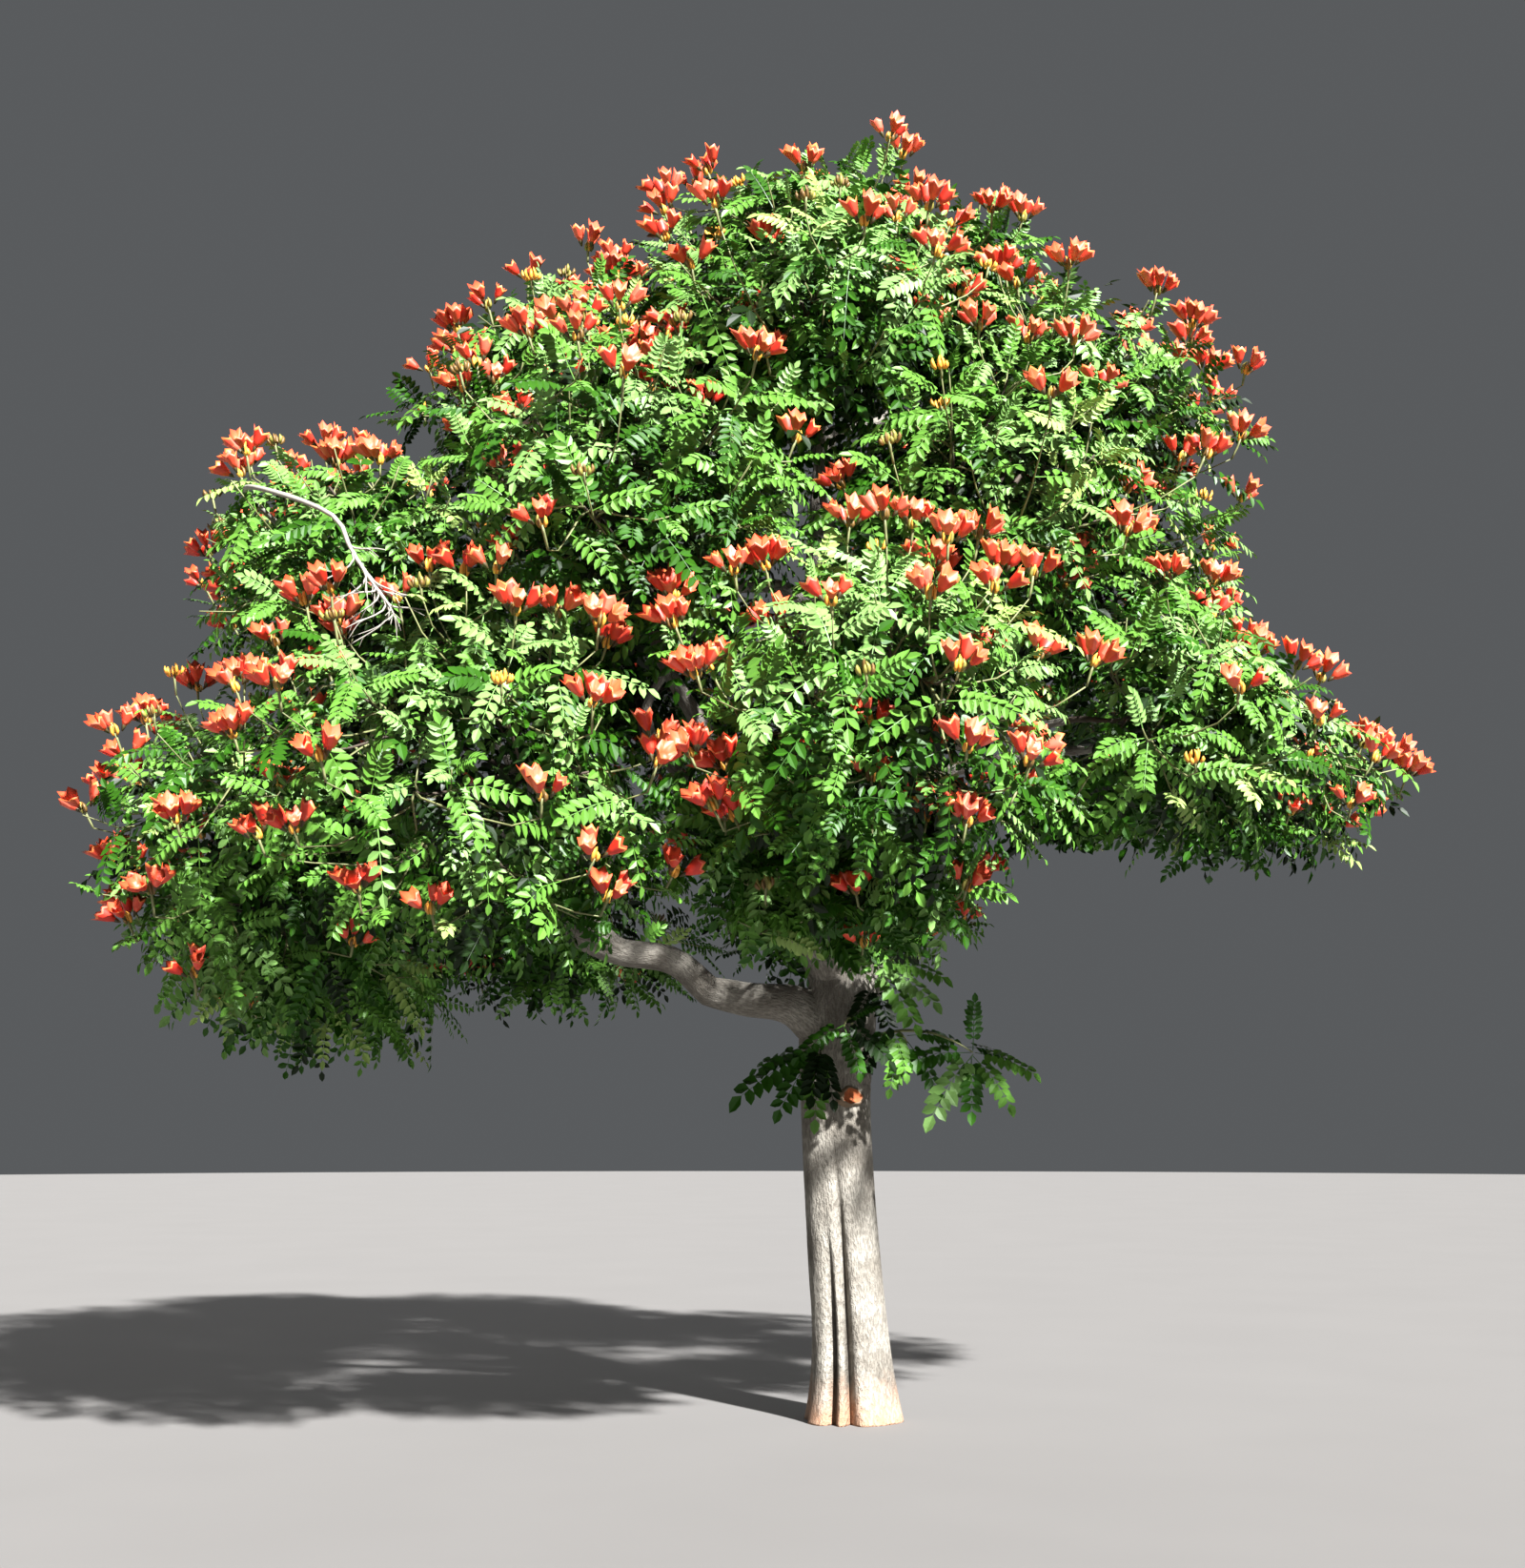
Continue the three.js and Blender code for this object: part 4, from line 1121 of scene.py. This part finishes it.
def deal_greens(grown, leaf):
    """A green for each leaf, dealt out by shoot: lighter outside and above, partly for paler outer leaves and
    partly as painted sunlight, darker inside as painted shade, and lightest when young.
    """
    lot = chance(grown.key, 3, 1)[leaf.shoot]
    # Lighter greens outside and above: paler outer leaves and painted sunlight; inner shoots get less, as
    # painted shade
    sunny = 0.55 * grown.aim[leaf.shoot, 2] + 0.2 + 0.35 * (~grown.inner[leaf.shoot])
    value = 1.1 + 2.1 * lot + 1.1 * np.clip(sunny, 0, 1) + 0.9 * (leaf.c - 0.5) - 0.25 * leaf.node
    value = np.where((lot > 0.93) & (leaf.node < 2), 5, value)
    # Leaves of the core get the two deepest greens, as painted shade inside the mass
    value = np.where(grown.core[leaf.shoot], 1.6 * lot, value)
    return np.clip(value, 0, len(GREENS) - 1).astype(int)


@lru_cache(maxsize=1)
def crown():
    """All masses, grown."""
    settings = bpy.context.scene.tulip_crown
    _, masses = skeleton()
    return [grow_mass(m, settings) for m in masses + drapes()]


def make_twigs():
    """Twigs of the drapes, stems, branches and arms in one piece, and the green shoots in another."""
    wood, green = Build(), Build()
    t = np.linspace(0, 1, 12)
    for grown in crown():
        if grown.mass.name is None:
            twig = grown.mass.limb
            wood.add(*tubes(twig.at(t)[None], twig.radius(t)[None], 7))
        r = grown.stem_radius
        wood.add(*tubes(grown.stem, tapers(r, STEM_TAPER * r, 7, 1), 8))
        first, last = BRANCH_TAPER
        wood.add(*tubes(grown.branches, tapers(first * r, last * r, 7, len(grown.branches)), 6))
        wood.add(*tubes(grown.arms, tapers(ARM_FOOT * r, ARM_TIP, 7, len(grown.arms)), 5))
        green.add(*tubes(grown.shoots, tapers(*SHOOT_RADII, 5, len(grown.shoots)), 3))
    wood.piece("branches", [material("branch")], "bark", soft=True)
    green.piece("shoots", [material("shoot")], "bark", soft=True)


def make_leaves(settings):
    """Leaves of the masses, in as many pieces as keep each under the limit of triangles."""
    greens = [material(green) for green in GREENS]
    build, names = Build(), []
    triangles, piece = 0, 1
    for grown in crown():
        leaf = leaves_on(grown, settings)
        key = leaf.shoot * 7.31 + leaf.c * 91 + grown.mass.seed
        pairs = LEAST_PAIRS + (chance(key, 1, 1) * 2.5).astype(int)
        pairs = np.where(grown.core[leaf.shoot], CORE_PAIRS, pairs)
        cost = ((2 * pairs + 1) * 4 + 4).sum()
        if triangles + cost > settings.piece_limit:
            build.piece(f"leaves_{piece}", greens, "foliage", names)
            build, names = Build(), []
            triangles, piece = 0, piece + 1
        triangles += cost
        paint = deal_greens(grown, leaf)
        for count in np.unique(pairs):
            some = pairs == count
            where = [values[some] for values in (leaf.foot, leaf.along, leaf.up, leaf.size, leaf.droop)]
            pinnate(build, *where, count, paint[some], key[some])
        if grown.mass.name:
            names.append(f"foliage_{grown.mass.name}")
    build.piece(f"leaves_{piece}", greens, "foliage", names)


# Heads of flower

CUP_SIDES = 10
CUP_HEIGHT = 0.108
# Rings of a cup, up the outside and down the inside: share of its height, radius and share of the frill
CUP_ROWS = ((0.0, 0.009, 0), (0.34, 0.029, 0), (0.84, 0.043, 0.7), (1.0, 0.048, 1), (0.5, 0.022, 0))
MOST_CUPS = 6
PETALS = ("petal_deep", "petal", "petal_pink", "petal_edge", "petal_inside")


def cups(build, foot, axis, size, key):
    """Tulip cups: rings that swell and flare to five frilled lobes, and an inner wall from the rim down.

    Height of a place = cup's height (h + 0.13 frill cos 5a + 0.12 h cos a). Where there is frill, its radius
    wavers by chance. By cup the colour is dealt at random; by facet, lighter facets are painted highlight and
    deeper ones painted shade, which make the folds of the petals.
    """
    n = len(foot)
    side = unit(np.cross(axis, np.array([0.37, 0.91, 0.17])))
    other = np.cross(axis, side)
    turn = (key * 5.0)[:, None]
    a = np.arange(CUP_SIDES) * TAU / CUP_SIDES
    spoke = spokes(a + turn, side, other)
    rings = []
    waver = 0.020 * (chance(key[:, None], np.arange(CUP_SIDES), 2) - 0.45) + 0.003 * np.cos(5 * a)
    for h, r, frill in CUP_ROWS:
        up = CUP_HEIGHT * (h + 0.13 * frill * np.cos(5 * a) + 0.12 * h * np.cos(a + turn))
        wide = r + frill * waver
        out = up[..., None] * axis[:, None] + wide[..., None] * spoke
        rings.append(foot[:, None] + size[:, None, None] * out)
    points = np.stack(rings, axis=1)
    rows = len(CUP_ROWS)
    index = np.arange(n * rows * CUP_SIDES).reshape(n, rows, CUP_SIDES)
    lot = chance(key[:, None, None] + 3, np.arange(rows - 1)[:, None], np.arange(CUP_SIDES))
    # By cup the tone differs at random; by facet, lighter facets are painted highlight and deeper ones
    # painted shade
    shades = np.clip((chance(key, 30) * 2.4)[:, None, None] + 1.6 * (lot - 0.5), 0, 2.4).astype(int)
    # The row up to the rim is a frill of golden facets and light ones of painted highlight, and the inner
    # wall is the golden throat
    shades[:, 2] = np.where(lot[:, 2] > 0.45, 3, 2)
    shades[:, 3] = 4
    caps = np.concatenate([index[:, 0, ::-1], index[:, -1]])
    build.add(points.reshape(-1, 3), [ring_walls(index), caps], [shades.ravel(), np.repeat([0, 4], n)])


def horns(build, foot, axis, towards, length, radius, paint):
    """Closed buds like small horns: a tube that swells and curves in towards a direction."""
    rows = np.linspace(0, 1, 4)
    lines = foot[:, None] + length[:, None, None] * (
        rows[:, None] * axis[:, None] + 0.45 * (rows ** 2)[:, None] * towards[:, None])
    thick = radius[:, None] * np.array([0.5, 1.0, 0.9, 0.18])
    # Three rows of four walls and two caps for each bud
    build.add(*tubes(lines, thick, 4), [np.repeat(paint, 12), np.tile(paint, 2)])


def make_heads(settings):
    """Heads of flower on stalks above the leaves: cups around a cluster of buds, and some of buds alone."""
    petals, buds, stalks = Build(), Build(), Build()
    foot, axis, _, key = heads()
    stalk = mix(0.05, 0.13, chance(key, 21))
    aim = unit(axis + 0.25 * np.stack([chance(key, 22) - 0.5, chance(key, 23) - 0.5, 0 * key], axis=-1))
    top = foot + aim * stalk[:, None]
    lines = grow_from(aim, foot, top, aim, 0.3, 4)
    stalks.add(*tubes(lines, tapers(*STALK_RADII, 4, len(foot)), 4))
    open_head = chance(key, 24) > settings.bud_heads

    # Cups: three to six about the head, leaning out, each in its calyx
    side = unit(np.cross(axis, np.array([0.21, 0.83, 0.31])))
    other = np.cross(axis, side)
    j = np.arange(MOST_CUPS)
    number = np.where(open_head, 3 + (chance(key, 25) ** 1.3 * 3.9).astype(int), 0)
    around = (key * 3.7)[:, None] + j * TAU / np.maximum(number, 2)[:, None]
    around = around + 0.5 * (chance(key[:, None], j, 26) - 0.5)
    spoke = spokes(around, side, other)
    lean = mix(0.30, 1.0, chance(key[:, None], j, 27))[..., None]
    cup_axis = unit(axis[:, None] + lean * spoke)
    cup_foot = top[:, None] + 0.034 * spoke + 0.012 * axis[:, None] * chance(key[:, None], j, 28)[..., None]
    some = j < number[:, None]
    size = mix(0.66, 0.92, chance(key[:, None], j, 29))
    cup_key = (key[:, None] + 0.17 * j)[some]
    cup_foot, cup_axis = cup_foot[some], cup_axis[some]
    cups(petals, cup_foot + 0.025 * cup_axis, cup_axis, size[some], cup_key)
    lines = grow_from(cup_axis, cup_foot, cup_foot + 0.055 * cup_axis, cup_axis, 0.3, 3)
    stalks.add(*tubes(lines, np.repeat(np.array([[0.004, 0.0125, 0.011]]), len(lines), axis=0), 4), 1)

    # Buds: a dome of horns in the middle of the head
    j = np.arange(settings.buds_per_head)
    share = (j + 0.5) / len(j)
    around = j * GOLDEN + key[:, None]
    wide = np.sqrt(share) * np.where(open_head, 0.75, 1.15)[:, None]
    spoke = spokes(around, side, other)
    bud_axis = unit(axis[:, None] + wide[..., None] * spoke)
    bud_foot = top[:, None] - 0.012 * axis[:, None] + 0.030 * wide[..., None] * spoke
    length = mix(0.045, 0.075, chance(key[:, None], j, 31))
    radius = 0.0085 + 0.003 * chance(key[:, None], j, 32)
    ripe_one, ripe_all = chance(key[:, None], j, 33) > 0.45, chance(key[:, None], 0 * j, 34) > 0.6
    ripe = np.where(open_head[:, None], ripe_one, ripe_all)
    shade = np.where(ripe, 0, 1 + (chance(key[:, None], j, 35) > 0.6))
    some = j < np.where(open_head, len(j) // 2, len(j))[:, None]
    horns(buds, bud_foot[some], bud_axis[some], -spoke[some], length[some], radius[some], shade[some])
    petals.piece("petals", [material(name) for name in PETALS], "foliage", soft=True)
    buds.piece("buds", [material(n) for n in ("bud_gold", "bud_brown", "bud_olive")], "foliage", soft=True)
    stalks.piece("head_stalks", [material("shoot"), material("calyx")], "foliage", soft=True)


# Leafy shoots on the trunk, and the bare branch


def make_trunk_shoots():
    """Young leafy shoots on the trunk, with large leaves that hang from arched twigs."""
    leaves, twigs = Build(), Build()
    for n, (twig_rows, leaf_rows) in enumerate(TRUNK_SHOOTS.values()):
        lines = bezier(*np.array(twig_rows).transpose(1, 0, 2), 9)
        twigs.add(*tubes(lines, tapers(*TRUNK_TWIG_RADII, 9, len(lines)), 5))
        foot, tip = np.array(leaf_rows).transpose(1, 0, 2)
        count = len(foot)
        droop = np.full(count, 0.30)
        size = np.linalg.norm(tip - foot, axis=1)
        along = (tip - foot) / size[:, None] + droop[:, None] * UP
        up = unit(np.tile([0.1, -0.75, 0.8], (count, 1)))
        key = np.arange(count) * 7.31 + 40 * n
        # The second shoot's leaves are a shade darker, which is painted shade
        shade = 1 - n + (chance(key, 2) * 2.4).astype(int)
        pinnate(leaves, foot, along, up, size, droop, 7, shade, key, (0.22, 0.31))
    leaves.piece("trunk_shoot_leaves", [material(g) for g in GREENS], "foliage", list(TRUNK_SHOOTS))
    twigs.piece("trunk_shoot_twigs", [material("shoot")], "bark", soft=True)


def make_bare_branch(settings):
    """A pale dead branch that arches out of the crown's left side, with crooked twigs at its end."""
    main = Limb("bare_branch", BARE_BRANCH, BARE_RADII)
    build = Build()
    t = np.linspace(0, 1, 26)
    build.add(*tubes(main.at(t)[None], main.radius(t)[None], 7))
    count = settings.bare_twigs
    k = np.arange(count)
    at = mix(0.80, 1.0, np.sqrt((k + 0.5) / count))
    start, facing = main.at(at), main.facing(at)
    turn = k * GOLDEN
    out = np.stack([1.3 * np.cos(turn), 0.5 * np.sin(turn) - 0.3, -0.45 + 0.5 * np.cos(3 * turn)], axis=-1)
    length = mix(0.12, 0.28, chance(k, 71))
    tips = start + unit(out + 0.6 * facing) * length[:, None]
    lines = grow_from(facing, start, tips, unit(out - 0.5 * UP), 0.4)
    build.add(*tubes(lines, tapers(*BARE_TWIG_RADII, 7, count), 4))
    again = np.repeat(k, 2)
    j = np.arange(len(again))
    start, facing = on_line(lines[again], mix(0.4, 0.9, chance(j, 72)))
    aside = np.stack([chance(j, 73) - 0.5, chance(j, 74) - 0.5, chance(j, 75) - 0.6], axis=-1)
    way = unit(facing + 1.2 * aside)
    lines = grow_from(facing, start, start + way * mix(0.06, 0.16, chance(j, 76))[:, None], way, 0.3)
    build.add(*tubes(lines, tapers(*BARE_TIP_RADII, 7, len(j)), 3))
    build.piece("bare_branch", [material("dead_wood")], "bark", soft=True)


def make_scar():
    """The round wound of a cut branch on the trunk's front: a callus ring about a sunk orange face."""
    turn = math.radians(SCAR_TURN)
    out = np.array([math.cos(turn), math.sin(turn), 0])
    middle = trunk_middle(SCAR_HEIGHT) + trunk_radius(SCAR_HEIGHT, turn) * out
    facing = unit(np.array([math.cos(turn), math.sin(turn), 0.12]))
    side = unit(np.cross(UP, facing))
    top = np.cross(facing, side)
    sides = 32
    a = np.arange(sides) * TAU / sides
    wavy = 1 + 0.08 * np.cos(3 * a + 1) + 0.05 * np.cos(7 * a)
    around = np.cos(a)[:, None] * side * 1.15 + np.sin(a)[:, None] * top * 0.85
    # Share of the radius and height out of the trunk, from the outer foot over the callus to the sunk middle
    profile = (
        (1.25, -0.020), (1.12, 0.006), (0.98, 0.018), (0.84, 0.019),
        (0.72, 0.013), (0.36, 0.011), (0.03, 0.012),
    )
    rings = [middle + SCAR_RADIUS * r * wavy[:, None] * around + h * facing for r, h in profile]
    points = np.concatenate(rings)
    index = np.arange(len(points)).reshape(len(profile), sides)
    shade = np.repeat([0, 0, 0, 1, 1, 1], sides)
    build = Build()
    build.add(points, [ring_walls(index), index[-1:]], [shade, 1])
    build.piece("cut_scar", [material("callus"), material("cut_wood")], "bark", soft=True)


# Materials by name

# Roughness, and depth and scale of the mottle: by name, for the leaves, and for petals and buds
FINISHES = {
    "branch": (0.85, 0.3, 22),
    "shoot": (0.6, 0.2, 20),
    "dead_wood": (0.9, 0.15, 30),
    "callus": (0.8, 0.2, 40),
    "cut_wood": (0.8, 0.3, 60),
    "calyx": (0.6, 0.2, 40),
}
LEAF_FINISH = (0.44, 0.16, 6.0)
FLOWER_FINISH = (0.5, 0.12, 30)


@lru_cache(maxsize=None)
def material(name):
    """The material of that name, made once from the colours in the settings."""
    colours = bpy.context.scene.tulip_colours
    if name == "bark":
        return bark_paint(colours)
    colour = getattr(colours, name)
    if name in GREENS:
        return plain_paint(name, colour, *LEAF_FINISH, specular_ior_level=0.22)
    return plain_paint(name, colour, *FINISHES.get(name, FLOWER_FINISH))


# Settings, operators and panel


def colour_property(name, description, red, green, blue):
    """A colour setting, given as a screen colour."""
    colour = srgb(red, green, blue)
    return FloatVectorProperty(
        name=name, description=description, default=colour, subtype="COLOR", min=0.0, max=1.0)


def number_property(name, description, default, least=1):
    """A setting that is a whole number."""
    return IntProperty(name=name, description=description, default=default, min=least)


def length_property(name, description, default):
    """A setting that is a length in metres."""
    return FloatProperty(name=name, description=description, default=default, unit="LENGTH")


def share_property(name, description, default, most=1.0):
    """A setting that runs from nothing to the most."""
    return FloatProperty(name=name, description=description, default=default, min=0.0, max=most)


def angle_property(name, description, degrees):
    """A setting that is an angle, given in degrees."""
    return FloatProperty(name=name, description=description, default=math.radians(degrees), subtype="ANGLE")


class TulipColours(bpy.types.PropertyGroup):
    """Colours of bark, leaves and flowers."""

    bark: colour_property("Bark", "Weathered grey-brown of the bark", 112, 106, 97)
    bark_pale: colour_property("Pale bark", "Pale grey of the ridges", 154, 149, 139)
    bark_dark: colour_property("Dark bark", "Dark brown in the fissures", 60, 54, 47)
    soil_stain: colour_property("Soil stain", "Orange-brown at the trunk's foot", 176, 126, 92)
    # Grey-brown bark, set darker than the trunk's as painted shade for the branches inside the crown
    branch: colour_property("Branch", "Grey-brown of branches inside the crown", 70, 60, 50)
    shoot: colour_property("Shoot", "Green-brown of young shoots and stalks", 112, 116, 74)
    dead_wood: colour_property("Dead wood", "Pale grey of the bare branch", 146, 141, 132)
    callus: colour_property("Callus", "Bark that has grown round the cut", 108, 90, 70)
    cut_wood: colour_property("Cut wood", "Orange-brown face of the cut", 142, 70, 28)
    calyx: colour_property("Calyx", "Dark green-brown under each cup", 66, 58, 30)
    leaf_deep: colour_property("Deep leaf", "Leaf in the shade of others", 12, 32, 2)
    leaf_full: colour_property("Full leaf", "Full-grown leaf", 36, 76, 9)
    leaf_mid: colour_property("Mid leaf", "Leaf of middle age", 77, 119, 42)
    leaf_bright: colour_property("Bright leaf", "Leaf in the sun", 103, 140, 73)
    leaf_light: colour_property("Light leaf", "Light green leaf", 122, 157, 99)
    leaf_young: colour_property("Young leaf", "Yellow-green young leaf", 133, 160, 84)
    # Deep orange-red: partly the petals' own tone by cup, and partly painted shade in their folds
    petal_deep: colour_property("Deep petal", "Deep orange-red", 200, 42, 24)
    petal: colour_property("Petal", "Orange-red", 214, 66, 42)
    # Lighter pinkish orange: painted highlight on the lighter facets and on the rim's frill
    petal_pink: colour_property("Light petal", "Lighter pinkish orange", 224, 96, 72)
    petal_edge: colour_property("Petal edge", "Golden frill inside the rim", 232, 118, 62)
    petal_inside: colour_property("Petal inside", "Golden orange throat", 228, 78, 40)
    bud_gold: colour_property("Golden bud", "Bud about to open", 214, 150, 56)
    bud_brown: colour_property("Brown bud", "Brown-olive bud", 104, 78, 34)
    bud_olive: colour_property("Olive bud", "Green-olive bud", 130, 124, 56)


class TulipBark(bpy.types.PropertyGroup):
    """Fineness and relief of the bark."""

    trunk_rows: number_property("Trunk rows", "Rings up the trunk", 170, 20)
    trunk_sides: number_property("Trunk sides", "Points round the trunk", 168, 24)
    limb_sides: number_property("Limb sides", "Points round a thick limb", 30, 8)
    relief: length_property("Relief", "Height of the bark's ridges", 0.0032)


class TulipCrown(bpy.types.PropertyGroup):
    """Numbers and sizes of the crown's twigs, leaves and heads of flower."""

    arms: number_property("Arms", "Arms in each mass", 15, 3)
    shoots: number_property("Shoots", "Leafy shoots tried in each mass", 104, 5)
    core_shoots: number_property("Core shoots", "Shoots tried about the middle of each mass", 28, 0)
    shoot_cap: share_property("Shoot cap", "How far round a mass shoots grow: 2 is all round", 1.62, 2.0)
    inner_share: share_property("Inner share", "Share of shoots kept where another mass is near", 0.62)
    depth: length_property("Depth", "How far inside the edge the deepest shoots end", 0.5)
    leaf_length: length_property("Leaf length", "Length of a full-grown leaf", 0.325)
    leaf_nodes: number_property("Leaf pairs", "Pairs of leaves on a shoot", 4)
    leaf_stretch: share_property("Leaf stretch", "How far leaves reach, in radii of their mass", 0.98, 2.0)
    sole_room: length_property("Sole room", "Least distance of leaf tips from the flat cuts", -0.03)
    edge_room: length_property("Edge room", "Least distance of leaf tips from the outline's cuts", 0.07)
    piece_limit: number_property("Piece limit", "Most triangles in one piece", 190000)
    head_share: share_property("Heads", "Share of outer shoots that end in a head of flower", 0.42)
    head_room: length_property("Head room", "How far inside the edge a shoot with a head ends", 0.26)
    head_gap: length_property("Head gap", "Least distance between heads", 0.20)
    passage: length_property("Passage", "Length without leaves outside each head", 0.36)
    passage_radius: length_property("Passage radius", "Room without leaves round each head", 0.11)
    bud_heads: share_property("Bud heads", "Share of heads with no open cup", 0.16)
    buds_per_head: number_property("Buds", "Buds in each head", 8)
    bare_twigs: number_property("Bare twigs", "Twigs of the bare branch", 16)


class TulipStage(bpy.types.PropertyGroup):
    """Floor, light and camera."""

    floor_colour: colour_property("Floor", "Floor, which the main light makes pale", 98, 96, 94)
    sky_colour: colour_property("Surround", "Pale surround", 236, 241, 246)
    sky_strength: share_property("Surround strength", "Light from all round", 0.12, 10.0)
    key_strength: share_property("Key strength", "Strength of the main light", 20.5, 100.0)
    fill_strength: share_property("Fill strength", "Strength of the soft light from the left", 0.2, 100.0)
    back_strength: share_property("Back strength", "Strength of the soft light from behind", 1.0, 100.0)
    key_angle: angle_property("Key softness", "Angle that the main light fills", 2)
    key_turn: angle_property("Key direction", "Direction that the main light comes from", -58)
    key_height: angle_property("Key height", "Height of the main light above level", 39)
    floor_radius: length_property("Floor radius", "Radius of the floor", 60.0)


class TULIP_OT_trunk(bpy.types.Operator):
    """Make the trunk's bark, with grooves between its roots"""

    bl_idname = "tulip.trunk"
    bl_label = "Trunk"

    def execute(self, context):
        make_trunk(context.scene.tulip_bark)
        make_scar()
        return {"FINISHED"}


class TULIP_OT_limbs(bpy.types.Operator):
    """Make the bark of the leader, the low bough, the main limbs and the boughs"""

    bl_idname = "tulip.limbs"
    bl_label = "Limbs"

    def execute(self, context):
        make_limbs(context.scene.tulip_bark)
        return {"FINISHED"}


class TULIP_OT_twigs(bpy.types.Operator):
    """Grow the branches and leafy shoots of every mass of foliage"""

    bl_idname = "tulip.twigs"
    bl_label = "Twigs"

    def execute(self, context):
        make_twigs()
        return {"FINISHED"}


class TULIP_OT_leaves(bpy.types.Operator):
    """Put pinnate leaves on the shoots of every mass"""

    bl_idname = "tulip.leaves"
    bl_label = "Leaves"

    def execute(self, context):
        make_leaves(context.scene.tulip_crown)
        return {"FINISHED"}


class TULIP_OT_heads(bpy.types.Operator):
    """Put heads of flower on their stalks"""

    bl_idname = "tulip.heads"
    bl_label = "Heads of flower"

    def execute(self, context):
        make_heads(context.scene.tulip_crown)
        return {"FINISHED"}


class TULIP_OT_trunk_shoots(bpy.types.Operator):
    """Grow the leafy shoots on the trunk"""

    bl_idname = "tulip.trunk_shoots"
    bl_label = "Trunk shoots"

    def execute(self, context):
        make_trunk_shoots()
        return {"FINISHED"}


class TULIP_OT_bare_branch(bpy.types.Operator):
    """Make the pale bare branch on the left"""

    bl_idname = "tulip.bare_branch"
    bl_label = "Bare branch"

    def execute(self, context):
        make_bare_branch(context.scene.tulip_crown)
        return {"FINISHED"}


def far_light(name, strength, softness, level, turn):
    """A distant light that comes from a height above level and a direction round the tree."""
    light = bpy.data.objects.new(name, bpy.data.lights.new(name, "SUN"))
    light.data.energy = strength
    light.data.angle = softness
    towards = Vector((math.cos(level) * math.cos(turn), math.cos(level) * math.sin(turn), math.sin(level)))
    light.rotation_euler = towards.to_track_quat("Z", "Y").to_euler()
    bpy.context.scene.collection.objects.link(light)


class TULIP_OT_stage(bpy.types.Operator):
    """Make the floor, the lights and the camera"""

    bl_idname = "tulip.stage"
    bl_label = "Stage"

    def execute(self, context):
        scene, stage = context.scene, context.scene.tulip_stage
        a = np.arange(FLOOR_POINTS) * TAU / FLOOR_POINTS
        points = np.stack([np.cos(a), np.sin(a), 0 * a], axis=-1) * stage.floor_radius
        mesh = bpy.data.meshes.new("floor")
        mesh.from_pydata(points.tolist(), [], [list(range(FLOOR_POINTS))])
        mesh.materials.append(plain_paint("floor", stage.floor_colour, 0.9, 0.02, 0.8))
        floor = bpy.data.objects.new("floor", mesh)
        scene.collection.objects.link(floor)

        world = bpy.data.worlds.new("surround")
        world.use_nodes = True
        background = world.node_tree.nodes["Background"]
        background.inputs[0].default_value = (*stage.sky_colour, 1)
        background.inputs[1].default_value = stage.sky_strength
        scene.world = world

        far_light("key_light", stage.key_strength, stage.key_angle, stage.key_height, stage.key_turn)
        far_light("fill_light", stage.fill_strength, *np.radians(FILL_LIGHT).tolist())
        far_light("back_light", stage.back_strength, *np.radians(BACK_LIGHT).tolist())

        camera = bpy.data.objects.new("camera", bpy.data.cameras.new("camera"))
        camera.data.lens = CAMERA_LENS
        camera.data.sensor_width = SENSOR_WIDTH
        camera.location = CAMERA_PLACE
        camera.rotation_euler = (math.radians(90 + CAMERA_PITCH), 0, 0)
        camera.data.clip_end = 400
        scene.collection.objects.link(camera)
        scene.camera = camera
        scene.view_settings.view_transform = "Standard"
        return {"FINISHED"}


class TULIP_PT_tree(bpy.types.Panel):
    """The tree's pieces and settings"""

    bl_idname = "TULIP_PT_tree"
    bl_label = "African Tulip Tree"
    bl_space_type = "VIEW_3D"
    bl_region_type = "UI"
    bl_category = "Tulip Tree"

    def draw(self, context):
        for operator in PIECES:
            self.layout.operator(operator.bl_idname)
        for name in SETTINGS:
            group = getattr(context.scene, name)
            box = self.layout.box()
            for key in group.__annotations__:
                box.prop(group, key)


SETTINGS = {
    "tulip_colours": TulipColours,
    "tulip_bark": TulipBark,
    "tulip_crown": TulipCrown,
    "tulip_stage": TulipStage,
}
PIECES = (
    TULIP_OT_stage,
    TULIP_OT_trunk,
    TULIP_OT_limbs,
    TULIP_OT_twigs,
    TULIP_OT_leaves,
    TULIP_OT_heads,
    TULIP_OT_trunk_shoots,
    TULIP_OT_bare_branch,
)


def register():
    for cls in (*SETTINGS.values(), *PIECES, TULIP_PT_tree):
        bpy.utils.register_class(cls)
    for name, group in SETTINGS.items():
        setattr(bpy.types.Scene, name, PointerProperty(type=group))


def unregister():
    for name in SETTINGS:
        delattr(bpy.types.Scene, name)
    for cls in reversed((*SETTINGS.values(), *PIECES, TULIP_PT_tree)):
        bpy.utils.unregister_class(cls)


def main():
    register()
    for operator in PIECES:
        group, name = operator.bl_idname.split(".")
        getattr(getattr(bpy.ops, group), name)()
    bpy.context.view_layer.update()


if __name__ == "__main__":
    main()
